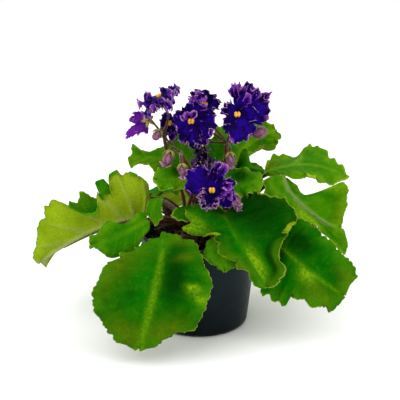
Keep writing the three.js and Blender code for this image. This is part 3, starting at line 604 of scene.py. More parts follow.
def leaf_finish(name, deep, mid, light):
    """Leaf skin: deep green between the veins, yellow-green along them, a pale line round the edge, and
    a pale yellow-green back with raised veins. On the upper face lie painted shade, painted highlights
    and fine painted glints of the hairs."""
    f = Finish(name, Specular_IOR_Level=0.01)
    rim, rib, vein, pale = (f.field(k) for k in ("rim", "rib", "vein", "pale"))
    broad = f.noise(38, 2)
    face = f.mix(f.ramp(broad, 0.38, 0.62), deep, mid)
    face = f.mix(f.spots((14, 4, 0.6), 0.42, 0.6, 0.0, 0.5), face, mid)
    face = f.mix(f.times(f.field("olive"), f.spots((6, 4, 0.6), 0.3, 0.65, 0.6, 1)), face, "4A6404")
    face = f.mix(f.spots((5, 4, 0.6), 0.52, 0.7, 0.0, 0.25), face, light)
    face = f.mix(f.times(f.ramp(rim, 1, 16, 0.75, 0.0), f.spots((18, 2), 0.35, 0.65, 0.2, 1)), face, light)
    face = f.mix(f.times(f.ramp(rib, 0.5, 5, 0.7, 0.0), f.spots((12, 2), 0.3, 0.7, 0.35, 1)), face, light)
    face = f.mix(f.times(vein, 0.12), face, light)
    # Painted shade: deep green over the shaded patches of the leaf.
    face = f.mix(f.times(f.field("dark"), 0.9), face, "002800")
    # Painted highlights: pale yellow-green where light falls brightest, together with the rib's own pale
    # band.
    face = f.mix(f.times(pale, f.spots((2.6, 4, 0.6), 0.34, 0.62, 0.3, 1)), face, "6E960A")
    face = f.mix(f.ramp(rim, 0.2, 1.2, 0.65, 0.0), face, "90A430")
    under = f.mix(f.ramp(broad, 0.35, 0.65), "728E08", "8CA418")
    under = f.mix(f.times(vein, 0.28), under, "9CA660")
    under = f.mix(f.ramp(rib, 0.5, 6, 0.75, 0.0), under, "A4AC6C")
    under = f.mix(f.ramp(rim, 0.2, 1.6, 0.5, 0.0), under, "4A6406")
    skin = f.mix(f.field("under"), face, under)
    skin = f.mix(f.times(f.field("crest"), 0.85), skin, "6E8048")
    skin = f.mix(f.spots((1.6, 2), 0.35, 0.7, 0.0, 0.22), skin, deep)
    # Painted glints: fine pale specks where the hairs catch the light.
    f.colour(f.mix(f.spots((0.5, 2), 0.6, 0.8, 0.0, 0.2), skin, "84A820"))
    f.roughness(f.noise(7, 3), 0.5, 0.66)
    f.bump(f.math("ADD", f.cells(1.6), f.times(f.noise(4, 3), 2.0)), 0.5, 0.8)
    return f.material


def stalk_finish(name, low, high, ends):
    """Hairy stalk skin whose colour runs from low at the foot to high near the far end."""
    f = Finish(name, Specular_IOR_Level=0.12, Sheen_Weight=0.05)
    streak = f.noise(2.2, 3, stretch=(1, 1, 0.25))
    tone = f.mix(f.ramp(f.field("along"), *ends), low, high)
    f.colour(f.mix(f.ramp(streak, 0.35, 0.7, 0.0, 0.5), tone, "1C0A04"))
    f.roughness(streak, 0.45, 0.62)
    f.bump(f.noise(0.7, 3), 0.25, 0.8)
    return f.material


def hair_finish():
    f = Finish("fine_hair", Specular_IOR_Level=0.3, Roughness=0.5)
    f.colour(f.mix(f.noise(3, 1), "C4BCA4", "9A8E80"))
    return f.material


LEAF_SKINS = {
    "deep": leaf_finish("leaf_deep", "004600", "045C00", "3C7404"),
    "green": leaf_finish("leaf_green", "065600", "206C00", "568A08"),
    "bright": leaf_finish("leaf_bright", "1A5C00", "347200", "66900A"),
}
PETIOLE = stalk_finish("leaf_stalk_skin", "4E2208", "4E5E0C", (0.35, 0.9))
HAIR = hair_finish()

# ---------------------------------------------------------------- leaves

# The number of side veins in each half, the length of a scallop, the most that an edge curls in degrees by
# chance, and the share of the waves that is left where EDGES says how an edge runs.
SIDE_VEINS = 7
TOOTH = 5.4
EDGE_CURL = 38
WAVES_LEFT = 0.3
# How far these stand out: the edge's ruffles and scallops, the swells between the side veins, the groove
# along the rib or its crest, and on the under face the ridges of the side veins and of the rib.
RELIEF = dict(ruffle=1.2, scallop=1.35, quilt=0.85, groove=0.25, crest=1.6, vein=0.45, rib=0.5)
# A big leaf and a small one: points along and out, the stalk's radius and hairs, and how large its ruffles,
# scallops, swells and groove are.
LEAF_SIZES = {True: dict(veins=260, rows=28, stalk=2.6, hairs=300, relief=1.0),
              False: dict(veins=130, rows=16, stalk=1.6, hairs=160, relief=0.6)}

# Patches of another tint on a leaf: the tint, the side (-1 left, 1 right), place along (0 stalk, 1 tip),
# place out (0 rib, 1 edge), and the reach along and out in millimetres. The pale tint paints highlights
# where light falls brightest, and the dark green tint paints shade.
PATCHES = {
    "leaf_front_left": [
        ("pale", -1, 0.545, 0.9, 4, 9), ("pale", -1, 0.5, 0.66, 4.5, 6), ("olive", 1, 0.4, 0.95, 34, 20),
        ("olive", 1, 0.85, 0.7, 18, 16), ("olive", -1, 0.8, 0.7, 20, 16), ("olive", -1, 0.14, 0.9, 13, 12),
        ("olive", -1, 0.3, 0.5, 6, 9), ("dark", -1, 0.45, 0.3, 34, 10)],
    "leaf_front_right": [
        ("dark", -1, 0.28, 0.55, 50, 34), ("dark", 1, 0.12, 0.2, 14, 10), ("dark", -1, 0.78, 0.68, 24, 4),
        ("pale", -1, 0.8, 0.14, 22, 6), ("pale", 1, 0.34, 0.85, 10, 9), ("olive", -1, 0.8, 0.95, 26, 5),
        ("olive", 1, 0.75, 0.9, 20, 6)],
    "leaf_right_front": [
        ("pale", 1, 0.6, 0.14, 11, 7), ("olive", 1, 0.75, 0.7, 18, 12), ("olive", -1, 0.85, 0.7, 16, 8),
        ("dark", 1, 0.2, 0.3, 22, 12), ("dark", -1, 0.35, 0.4, 20, 9)],
    "leaf_inner_left": [("pale", -1, 0.35, 0.4, 11, 7), ("dark", 1, 0.4, 0.6, 14, 7)],
    "leaf_inner_front_right": [("dark", -1, 0.5, 0.5, 14, 6)],
    "leaf_inner_right": [("dark", 1, 0.5, 0.4, 12, 6), ("dark", -1, 0.3, 0.4, 10, 6)],
    "leaf_right_back": [("pale", -1, 0.5, 0.45, 6, 12), ("olive", -1, 0.2, 0.4, 14, 10)],
    "leaf_right": [("pale", 1, 0.5, 0.7, 16, 9), ("pale", -1, 0.5, 0.85, 14, 7),
                   ("olive", -1, 0.85, 0.8, 16, 10)],
    "leaf_back_right": [("dark", -1, 0.3, 0.5, 16, 11), ("pale", 1, 0.4, 0.5, 12, 9)],
    "leaf_back_left": [("dark", -1, 0.1, 0.5, 10, 8)],
}
# Where a leaf's edge rolls over: the side, place along, half its length along, how much of the edge rolls in
# millimetres, by how many degrees, positive towards the upper face, and how much more leaf there is to roll.
ROLLS = {
    "leaf_left": [(-1, 0.2235, 0.035, 5.5, -150, 6), (-1, 0.316, 0.042, 6.5, -155, 12),
                  (-1, 0.383, 0.042, 18, -168, 22), (-1, 0.53, 0.1, 5.5, -150, 0)],
    "leaf_front_right": [(-1, 0.57, 0.05, 9, 160, 5), (-1, 0.77, 0.14, 3, 70, 0), (1, 0.49, 0.03, 7, 130, 0),
                         (1, 0.57, 0.03, 5, 140, 0), (1, 0.68, 0.06, 3, 80, 0), (-1, 0.225, 0.03, 6, 120, 0)],
    "leaf_right_front": [(-1, 0.92, 0.09, 4, -90, 0)],
    "leaf_right_back": [(1, 0.48, 0.07, 8, 155, 8)],
    "leaf_left_front": [(-1, 0.98, 0.04, 5, -150, 0), (-1, 0.5, 0.3, 2.5, 60, 0)],
    "leaf_back": [(-1, 0.4, 0.05, 8, 140, 4), (1, 0.6, 0.05, 8, 140, 4)],
    "leaf_back_low_left": [(1, 0.5, 0.06, 8, 150, 4), (-1, 0.7, 0.04, 7, -120, 3)],
    "leaf_back_low_right": [(-1, 0.5, 0.06, 8, 150, 4), (1, 0.3, 0.05, 7, 130, 3)],
}
# How one side of a leaf's edge leaves its smooth outline: places along it, with how far the edge reaches out
# there and how far it stands up, in millimetres.
EDGES = {
    ("leaf_left", -1): [
        (0.15, 0, 0), (0.2, 0, 0), (0.25, 0, 0), (0.275, -2.5, 0), (0.293, -1, 0), (0.342, -2, 0),
        (0.402, 0, 0), (0.417, -5, 0), (0.43, -9, 0), (0.47, -12, 0), (0.5, -13, 0), (0.55, -12, 0),
        (0.585, -8, 0), (0.605, 0, 0), (0.62, 1.5, 0), (0.65, 1, 0), (0.675, -0.5, 0), (0.69, 3, 0),
        (0.71, 2, 0), (0.73, -0.5, 0), (0.76, 1.5, 1), (0.8, 0, 0), (0.84, -2.5, -1), (0.9, -1.5, 0),
        (0.95, 2.5, 0), (0.98, 4.5, 0), (1, 3, 0)],
    ("leaf_left", 1): [
        (0.2, 2, 3), (0.3, -2, -3), (0.42, 2, 2), (0.445, 0, 2), (0.47, 1, 6), (0.488, 1, 12),
        (0.502, 1, 16.5), (0.52, 1, 16.5), (0.534, 0, 10), (0.555, 0, 5), (0.575, 0, 6), (0.592, 0, 8.5),
        (0.605, 0, 7), (0.62, 0, 1), (0.7, 3, 3), (0.85, -1, -2)],
    ("leaf_left_front", -1): [
        (0.1, -1, 0), (0.18, -3.5, 0), (0.26, -2, 0), (0.35, 0, 0), (0.93, 0, 0), (0.97, 6, -1), (1, 5, -1)],
    ("leaf_left_front", 1): [(0.3, 0, 1), (0.4, 0, -1), (0.84, -1, 0), (0.91, 3, 1), (0.96, 2, 0)],
    ("leaf_front_right", 1): [
        (0.1, 1, 0), (0.15, 2, 1), (0.2, 2, 0), (0.25, 0, 0), (0.3, -4, 2), (0.35, 5, 0), (0.38, 4, -1),
        (0.41, 3, 0), (0.45, -2.5, 2), (0.49, -3, 5), (0.53, -3, -1), (0.57, -1, 3), (0.6, 0, 2),
        (0.65, 2.5, -2), (0.68, 1, 0), (0.72, -4, 3), (0.76, -2, 0), (0.79, 1, -2), (0.82, -2, 2),
        (0.86, 0, 0), (0.89, 3, -2), (0.94, 5, 0), (0.97, 4, 0)],
    ("leaf_front_right", -1): [
        (0.1, -1, 0), (0.15, 0, 0), (0.2, -1, 1), (0.225, -2, 2), (0.25, 0, 0), (0.35, 0, 0), (0.45, 0, -2),
        (0.52, 0, 0), (0.57, 0, 2), (0.62, 0, -1), (0.7, 1.5, 1), (0.74, 0, 0), (0.79, -1.5, -2),
        (0.84, -1.5, 1), (0.89, 0, 0), (0.94, 3.5, 0), (0.98, 4.5, 0)],
    ("leaf_right_front", -1): [
        (0.3, -1, 0), (0.4, -1.5, 1), (0.45, -4, 0), (0.5, -3, 1), (0.55, -1, 0), (0.65, 0, 1), (0.74, 0, 0),
        (0.79, -1, 2), (0.82, 1, 0), (0.9, 0, 0)],
    ("leaf_right_front", 1): [
        (0.3, 0, 0), (0.35, 2.5, -1), (0.375, -1, 1), (0.39, -3, 2), (0.42, 0, 0), (0.45, 0, -1),
        (0.47, -2, 1), (0.5, 1.5, 0), (0.52, 1.5, -1), (0.535, -8, 2), (0.56, -5, 3), (0.6, -3, 0),
        (0.63, -4, 2), (0.66, -1.5, 0), (0.7, 2.5, -2), (0.74, -0.5, 1), (0.79, -2.5, 2), (0.82, -3, 1),
        (0.84, 1, 0), (0.89, 0, 0)],
    ("leaf_right", -1): [
        (0.1, 0, 0), (0.13, 1, 1), (0.17, 0, 0), (0.24, 0, -2), (0.31, 0, -3.5), (0.4, 0, -3.5),
        (0.5, 0, -1.5), (0.57, 0, 1), (0.65, -0.5, 1), (0.75, -2, 0), (0.85, -2.5, 0), (0.95, -1, 0)],
    ("leaf_right", 1): [
        (0.1, 1, 0), (0.2, 0, 1), (0.35, 0, -1), (0.45, 1, 0), (0.6, -1, 1), (0.75, 1, 0), (0.9, 1.5, 0)],
    ("leaf_right_back", -1): [
        (0.02, -4, 0), (0.08, -4, 0), (0.14, -1, -1), (0.2, 2, 1), (0.25, 1, -1), (0.3, 1.5, 1),
        (0.35, 0, 0), (0.45, -1.5, -2), (0.5, 1, 1), (0.55, 1.5, 2), (0.575, -1, 0), (0.61, 1, 1),
        (0.64, -0.5, 0), (0.7, 1, 1), (0.74, -3, -1), (0.79, -3, 1), (0.84, -3, 0), (0.9, -1, 1)],
    ("leaf_right_back", 1): [(0.15, 0, 0), (0.3, 0, 0), (0.41, 0, 0), (0.55, 0, 0),
                             (0.65, 2, 0), (0.75, 0, 0), (0.88, 0, 0)],
    ("leaf_back_right", 1): [
        (0.3, 0, 1), (0.42, 0, 0), (0.5, -1, 0), (0.65, -1.5, 1), (0.74, 0, -1), (0.79, 1, 0),
        (0.83, -2, 1), (0.88, 1.5, -1), (0.94, 0.5, 0), (0.98, -4, 0)],
    ("leaf_back_right", -1): [
        (0.2, 1, 1), (0.33, -1, -1), (0.45, 1, 2), (0.52, 1, -1), (0.6, -2, -2), (0.68, 1, 1), (0.76, -2, 0),
        (0.84, 2, 1), (0.9, -1, 0), (0.95, 2, 0), (0.99, -2, 0)],
    ("leaf_back_left", 1): [
        (0.2, 1, 1), (0.3, 0, -1), (0.45, -1, 0), (0.6, -2, 0), (0.72, -3, 0), (0.79, 5, 2), (0.83, 4, 1),
        (0.88, -3, 0), (0.93, -3, -1), (0.98, 0, 0)],
    ("leaf_back_left", -1): [
        (0.2, 0, 0), (0.3, 1, 1), (0.4, -1, 0), (0.52, -2, -1), (0.65, -2, 0), (0.75, 0, 1), (0.83, 2, 0),
        (0.9, 2, 0), (0.97, 1, 0)],
    ("leaf_front_left", -1): [
        (0.05, 1, 0), (0.1, -1.5, 1), (0.15, -1.5, 0), (0.2, 1, 0), (0.25, 0, -1), (0.3, -3.5, 1),
        (0.35, -4.5, 0), (0.4, -2.5, 1), (0.45, 2, -1), (0.5, -1.5, 2), (0.55, -2.5, 1), (0.6, -2, -1),
        (0.65, 0, 0), (0.7, 0.5, 1), (0.74, -2.5, 0), (0.79, -3, -1), (0.84, -3.5, 1), (0.89, 0, 0),
        (0.94, 3.5, 0), (0.98, 2, 0)],
    ("leaf_front_left", 1): [
        (0.1, 0, 0), (0.15, -0.5, 0), (0.2, -3, 0), (0.25, -6, 1), (0.28, -3, 0), (0.3, 0.5, 0),
        (0.32, -1.5, 1), (0.35, 3, 0), (0.4, 1.5, 0), (0.45, 0, 1), (0.5, -2, 0), (0.55, -1, -1),
        (0.6, 0.5, 0), (0.65, -1, 1), (0.7, -1, 0), (0.74, -2.5, -1), (0.79, 0, 0), (0.84, 1.5, -1),
        (0.89, 3, 0), (0.94, 2.5, 0), (0.99, 2, 0)],
}


def midrib(leaf):
    """The rib's point and its direction at each share of the way, as functions."""
    base, belly, tip = (np.array(leaf[k], float) for k in ("base", "belly", "tip"))
    control = 2 * belly - (base + tip) / 2

    def point(s):
        s = np.asarray(s, float)[..., None]
        return (1 - s) ** 2 * base + 2 * s * (1 - s) * control + s ** 2 * tip

    def tangent(s):
        s = np.asarray(s, float)[..., None]
        return unit((1 - s) * (control - base) + s * (tip - control))

    return point, tangent


def eased(s, table, column):
    """Values of a table of places, with a soft run from each to the next."""
    places = np.array([(0, 0, 0), *table, (1.001, 0, 0)], float)
    k = np.clip(np.searchsorted(places[:, 0], s, side="right") - 1, 0, len(places) - 2)
    low, high = places[k], places[k + 1]
    share = smooth(0, 1, (s - low[..., 0]) / (high - low)[..., 0])
    return low[..., column] + (high - low)[..., column] * share


def bent(run, angle):
    """How far a sheet gets forwards and up along its rows, if it slopes by these angles."""
    step = np.diff(run, axis=1)
    middle = (angle[:, 1:] + angle[:, :-1]) / 2
    start = np.zeros((len(run), 1))
    forward = np.hstack([start, np.cumsum(np.cos(middle) * step, axis=1)])
    raised = np.hstack([start, np.cumsum(np.sin(middle) * step, axis=1)])
    return forward, raised


def leaf_tints(leaf, side, s, t, length, edge_length):
    """How strongly each other tint shows on one half of a blade: pale (painted highlights, with the rib's own
    pale band added to them), dark (painted shade) and olive.
    """
    shares = {tint: np.zeros(np.broadcast(s, t).shape) for tint in ("pale", "dark", "olive")}
    for tint, which, place_along, place_out, reach_along, reach_out in PATCHES.get(leaf["name"], []):
        if which == side:
            along = (s - place_along) * edge_length / reach_along
            out = (t - place_out) * length / reach_out
            shares[tint] += 1.2 * np.exp(-along ** 2 - out ** 2)
    if "ribbon" in leaf:
        narrow, wide, strength = leaf["ribbon"]
        half_width = narrow + (wide - narrow) * s
        shares["pale"] += strength * np.exp(-(length * t / half_width) ** 2) * smooth(0.03, 0.12, s)
    return {tint: np.clip(share, 0, 1) for tint, share in shares.items()}


def blade_half(leaf, side, s, t, rng):
    """Points and fields of one half of a blade, on the grid of side veins s and shares t of their way."""
    point, tangent = midrib(leaf)
    edge = Path([point(0), *leaf["left" if side < 0 else "right"], point(1)])
    along = s ** leaf.get("lean", BLADE["lean"])
    start, way = point(along), tangent(along)
    widest = np.broadcast_to(tangent(BLADE["widest"]), way.shape)
    across = carried(np.broadcast_to(edge.at(0.5) - point(BLADE["widest"]), way.shape), widest, way)
    up = unit(side * np.cross(across, way))
    share = BLADE["notch"] + (1 - BLADE["notch"]) * s
    vein = edge.at(share) - start
    length = np.linalg.norm(vein, axis=1)[:, None]
    out = vein / np.maximum(length, 1e-6)
    s, far = s[:, None], share[:, None] * edge.length

    calm = np.minimum(1, np.minimum(5 * (1 - s), 6 * s))
    soft = leaf.get("calm", 1)
    big = LEAF_SIZES[leaf["big"]]["relief"]
    ruffle = Wobble(rng, 17 * big + 5)(far)
    ripple = Wobble(rng, 8)(far)
    curl = Wobble(rng, 10 * big + 2)(far)
    scallop = np.abs(np.cos(math.pi * (far + 1.3 * Wobble(rng, 16)(far)) / TOOTH)) ** 0.7 - 0.6

    work = EDGES.get((leaf["name"], side))
    waves = calm * (WAVES_LEFT if work else 1)
    phase = 2 * math.pi * leaf["waves"] * s + side * 0.9
    wave = leaf["frill"] * waves * t ** 3 * np.sin(phase)
    wave = wave + soft * calm * big * (RELIEF["ruffle"] * ruffle * t ** 4 + ripple * t ** 9)
    stretch = 1 + leaf["lobe"] * waves * np.cos(phase) * t ** 3 / np.maximum(length, 8)
    rib = length * t
    more = RELIEF["scallop"] * min(1, soft + 0.2) * big * scallop
    more = more * smooth(5, 0, length - rib) * smooth(0, 0.06, 1 - s)
    rolls = []
    for which, place, half, depth, degrees, extra in ROLLS.get(leaf["name"], []):
        if which == side:
            strength = smooth(half, 0.4 * half, np.abs(s - place))
            rolls.append((strength, depth, math.radians(degrees), extra))
            more = more * (1 - 0.8 * strength)
    if work:
        more = more + eased(s, work, 1) * t ** 4
        wave = wave + eased(s, work, 2) * t ** 3
    for strength, _, _, extra in rolls:
        more = more + extra * strength * t ** 4

    cell = SIDE_VEINS * np.clip(s - 0.07 * t ** 2 + 0.012 * ruffle, 0, 1) ** 0.9
    gap = np.abs(cell - np.round(cell)) * 2
    quilt = RELIEF["quilt"] * big * (smooth(0, 0.55, gap) - 0.45)
    quilt = quilt * smooth(0.04, 0.2, t) * smooth(1.02, 0.7, t)
    groove = -RELIEF["groove"] * big * smooth(5 * big, 0, rib)

    run = rib * stretch + more
    rim = run[:, -1:] - run
    angle = math.radians(EDGE_CURL) * soft * calm * big * curl * smooth(9 * big, 0, rim)
    for strength, depth, turn, _ in rolls:
        angle = angle + turn * strength * smooth(0, min(4, depth), depth - rim)
    forward, raised = bent(run, angle)

    bow = leaf["bow"][0 if side < 0 else 1] * 6.75 * t ** 2 * (1 - t)
    crest = np.exp(-(rib / (1.2 + 3.6 * np.sin(math.pi * s))) ** 4) * smooth(1.0, 0.8, s)
    crest = crest * leaf.get("crest", False)
    lift = bow + wave + quilt + groove + raised + RELIEF["crest"] * crest
    grid = start[:, None] + out[:, None] * forward[..., None] + up[:, None] * lift[..., None]

    spacing = edge.length / SIDE_VEINS * (0.25 + 0.75 * t)
    veins = np.exp(-(gap / 2 * spacing / (1.9 - 0.9 * t)) ** 2) * smooth(0.0, 0.1, t) * smooth(1.0, 0.9, t)
    tints = leaf_tints(leaf, side, s, t, length, edge.length)
    return grid, dict(rim=rim, rib=rib, vein=veins, crest=crest, **tints)


def joined(right, left):
    """Both halves of a blade as one grid, from the right edge over the rib to the left edge."""
    return np.concatenate([right[:, :0:-1], left], axis=1)


def leaf_ends(grid):
    """Distance in millimetres, across the veins, from the first or the last row of a blade."""
    step = np.linalg.norm(np.diff(grid, axis=0), axis=2)
    from_start = np.vstack([np.zeros(grid.shape[1]), np.cumsum(step, axis=0)])
    return np.minimum(from_start, from_start[-1] - from_start)


def build_leaf(leaf, rng):
    size = LEAF_SIZES[leaf["big"]]
    s = np.linspace(0.004, 0.992, size["veins"] + 1)
    t = 1 - (1 - np.linspace(0, 1, size["rows"] + 1)[None, :]) ** 1.35
    left, left_fields = blade_half(leaf, -1, s, t, rng)
    right, right_fields = blade_half(leaf, 1, s, t, rng)
    grid = joined(right, left)
    fields = {name: joined(right_fields[name], left_fields[name]) for name in left_fields}
    fields["rim"] = np.minimum(fields["rim"], leaf_ends(grid))
    half = BLADE["thickness"] / 2 * (0.45 + 0.55 * smooth(0, 3, fields["rim"]))
    ridge = RELIEF["vein"] * fields["vein"] + RELIEF["rib"] * smooth(2.5, 0, fields["rib"])
    blade = Shape()
    normal = sheet(blade, grid, half, half + ridge, **fields)
    blade.build(leaf["name"] + "_blade", LEAF_SKINS[leaf.get("skin", "green")], "leaf", leaf["name"])

    point, tangent = midrib(leaf)
    thick = size["stalk"]
    outward = compass(math.radians(leaf["turn"]))
    foot = outward * STALK_START + (0, 0, leaf["ring"])
    arch = (foot + point(0)) / 2 + (0, 0, STALK_ARCH)
    left_middle, right_middle = (places[len(places) // 2] for places in (leaf["left"], leaf["right"]))
    right_way = unit(np.subtract(right_middle, left_middle))

    def under(place, depth):
        return point(place) - depth * unit(np.cross(right_way, tangent(place)))

    points = [foot, foot + 4 * outward, arch, under(0.01, thick * 0.8), under(0.12, thick + 0.8),
              under(0.3, 2.2), under(0.55, 1.7), under(0.8, 1.2)]
    radii = [thick * 1.15, thick, thick, thick * 0.85, thick * 0.7, 1.0, 0.7, 0.35]
    stalk = Shape()
    grain = Wobble(rng, 6)
    rings, out = tube(stalk, points, radii, 14, 44,
                      lambda far, angle: 0.05 * grain(far) + 0.03 * np.cos(3 * angle))
    stalk.build(leaf["name"] + "_stalk", PETIOLE, "leaf")

    fuzz = Shape()
    scattered_hairs(fuzz, rng, rings[:30], out[:30], size["hairs"], HAIRS["leaf_stalk"])
    rows = np.arange(2, len(grid) - 2, 3)
    for column, inner in ((0, 1), (-1, -2)):
        roots = grid[rows, column]
        away = unit(roots - grid[rows, inner]) + 0.4 * normal[rows, column]
        hairs(fuzz, rng, roots, away, HAIRS["leaf_edge"], 0.045)
    fuzz.build(leaf["name"] + "_hairs", HAIR, "leaf")


build_all(build_leaf, LEAVES, SEEDS["leaves"])

# ---------------------------------------------------------------- blooms


def petal_finish(name, deep, mid, bright, back, edge):
    """Velvet petal: blue-violet with darker veins, lilac behind and near the edge, and a pale beaded rim."""
    f = Finish(name, Specular_IOR_Level=0.03, Sheen_Weight=0.02, Sheen_Roughness=0.4,
               Sheen_Tint=linear("7A50FF"))
    rim, vein, tone, pale_edge = (f.field(k) for k in ("rim", "vein", "tone", "edge"))
    fine = f.noise(1.5, 3)
    face = f.mix(f.spots((9, 2), 0.38, 0.66), deep, mid)
    face = f.mix(f.times(vein, 0.45), face, "08002C")
    face = f.mix(f.times(f.ramp(rim, 0.5, 6.0, 0.85, 0.0), f.ramp(tone, 0.5, 1.0)), face, bright)
    rear = f.mix(f.ramp(tone, 0.3, 1.0), back, bright)
    rear = f.mix(f.times(vein, 0.5), rear, deep)
    skin = f.mix(f.field("under"), face, rear)
    skin = f.mix(f.ramp(fine, 0.4, 0.75, 0.0, 0.5), skin, deep)
    narrow = f.math("DIVIDE", rim, f.math("ADD", pale_edge, 1.0))
    beads = f.math("ADD", narrow, f.ramp(fine, 0.3, 0.7, -0.35, 0.5))
    pale = f.mix(f.spots((3, 2), 0.35, 0.65), edge, "C49AA8")
    share = f.math("MAXIMUM", f.spots((8, 2), 0.4, 0.56, 0.15, 1), pale_edge)
    f.colour(f.mix(f.times(f.ramp(beads, 0.2, 0.8, 0.9, 0.0), share), skin, pale))
    f.roughness(fine, 0.5, 0.7)
    f.bump(f.math("ADD", fine, f.cells(0.8)), 0.22, 0.8)
    return f.material


def bud_finish():
    f = Finish("bud_skin", Specular_IOR_Level=0.06, Sheen_Weight=0.05, Sheen_Roughness=0.4)
    tone = f.mix(f.spots((4, 3), 0.35, 0.65), "8A586C", "683E58")
    tone = f.mix(f.spots((1.5, 3), 0.4, 0.7, 0.0, 0.6), tone, "A27E8E")
    # Painted shade: the grooves between the folds are darkened towards deep purple.
    f.colour(f.mix(f.times(f.field("fold"), 0.7), tone, "3A1A30"))
    f.roughness(f.noise(1, 2), 0.5, 0.7)
    f.bump(f.noise(0.7, 3), 0.25, 0.8)
    return f.material


PETAL_SKIN = petal_finish("petal_velvet", "0C0038", "1E0078", "9C4CC4", "421488", "C498B4")
OTHER_SKINS = {
    "bloom_left_side": petal_finish("petal_magenta", "3A0E6C", "5A1A8C", "8A3CB0", "6A2098", "B488A4"),
    "bloom_spent": petal_finish("petal_faded", "0C0618", "201838", "5A3C6E", "2A1C3C", "8A7884"),
}
MAUVE_SKIN = petal_finish("petal_mauve", "4A2844", "663A58", "94648A", "6E4464", "D0AEB8")
ANTHER_SKIN = grainy_finish("anther_gold", ("EDB414", "B8640A"), ((1.8, 3), 0.35, 0.7), (0.6, 2),
                            (0.45, 0.65), (0.35, 2), 0.15, 0.8, Specular_IOR_Level=0.4,
                            Subsurface_Weight=0.1, Subsurface_Scale=0.001)
BUD_SKIN = bud_finish()
STYLE_SKIN = stalk_finish("style_skin", "6A3A9A", "D8C8E0", (0.0, 1.0))


def petal_sheet(shape, bloom, petal, rng, start=0.0):
    """One petal: a fan from the throat whose free edge is longer than the petal is wide, so that it waves,
    loops and rolls over. A frill starts a share of the way out."""
    at, face = np.array(bloom["at"], float), unit(bloom["face"])
    width = petal[3]
    cup, lilac = petal[4:] if len(petal) > 4 else (PETAL["cup"], 0)
    along = np.array(petal[:3], float) - at
    at = at + start * along
    along = along * (1 - start)
    reach = np.linalg.norm(along)
    along /= reach
    across = unit(np.cross(face, along))
    up = unit(np.cross(along, across))
    size = 0.5 + 0.5 * min(1, width / 20)

    columns = int(50 + 6 * width)
    turn = np.radians(PETAL["fan"]) * np.linspace(-1, 1, columns + 1)
    edge_x = width / 2 * np.sin(turn) * (1 + 0.05 * Wobble(rng, 1.2)(turn))
    edge_y = reach * (0.55 + np.where(np.cos(turn) > 0, 0.45, 0.5) * np.cos(turn))
    edge_y = edge_y * (1 + 0.04 * Wobble(rng, 0.9)(turn))
    from_root = np.stack([edge_x, edge_y - PETAL["root"]], -1)
    length = np.linalg.norm(from_root, axis=1)
    away = from_root / length[:, None]
    step = np.stack([np.gradient(edge_x), np.gradient(edge_y)], -1)
    run = np.cumsum(np.linalg.norm(step, axis=1))
    beside = unit(step)

    rows = PETAL["frill_rows" if start else "rows"]
    out = 1 - (1 - np.linspace(0, 1, rows + 1)[:, None]) ** 1.5
    rim = (1 - out) * length
    free = smooth(0.05, 0.35, edge_y / reach)
    phase = 2 * math.pi * (run + 1.1 * Wobble(rng, 7)(run)) / (PETAL["wave"] * size)
    height = bloom.get("ruffle", 1) * PETAL["ruffle"] * size * (0.8 + 0.35 * Wobble(rng, 6)(run)) * free
    near = smooth(PETAL["ruffle_depth"] * size, 0, rim)
    ruffle = near ** 1.4 * height * np.sin(phase)
    shift = near ** 2 * -0.1 * PETAL["wave"] * size * free * np.sin(2 * phase)
    tooth = np.abs(np.cos(math.pi * run / PETAL["tooth"])) - 0.4
    teeth = smooth(1.2, 0, rim) * free * PETAL["tooth_height"] * tooth

    depth = PETAL["roll"] * size
    turned = np.clip(depth - rim, 0, depth)
    most = np.radians(PETAL["roll_turn"])
    angle = most * np.clip(1.2 * Wobble(rng, 11)(run), -1, 1) * free * turned / depth
    rolled = np.abs(angle) > 1e-3
    safe = np.where(rolled, angle, 1)
    forward = np.where(rolled, np.sin(angle) / safe, 1) * turned - turned
    raised = np.where(rolled, (1 - np.cos(angle)) / safe, 0) * turned

    flat = out[..., None] * from_root + (0, PETAL["root"])
    flat = flat + away * (forward + teeth)[..., None] + beside * shift[..., None]
    pleats = np.cos(turn * (2.5 if width > 22 else 1.8) + rng.uniform(0, 6))
    pleat = PETAL["pleat"] * width * out ** 2 * pleats
    crinkle = PETAL["crinkle"] * Wobble(rng, 0.5)(turn) * smooth(0.1, 0.5, out) * smooth(1, 0.7, out)
    cupped = cup * (np.abs(flat[..., 0]) / (width / 2)) ** 2 * 0.5 + cup * out ** 3 * 0.7
    lift = PETAL["bow"] * 4 * out * (1 - out) + pleat + crinkle + cupped + ruffle + raised
    lift = lift + PETAL["tilt"] * flat[..., 0] / width
    grid = at + along * flat[..., 1:] + across * flat[..., :1] + up * lift[..., None]
    vein = np.abs(np.cos(turn * 5.5)) ** 6 * smooth(0.1, 0.3, out) * smooth(1.0, 0.75, out)
    tone = lilac + np.clip(0.5 + 0.6 * Wobble(rng, 9)(run), 0, 1) * smooth(0.55, 1, out)
    half = PETAL["thickness"] / 2 * (0.5 + 0.5 * smooth(0, 2, rim))
    sheet(shape, grid, half, half, rim=rim + 3 * smooth(0.75, 0.35, edge_y / reach), vein=vein,
          tone=np.clip(tone, 0, 1), edge=0.8 if cup >= RING_CUP else 0.0)


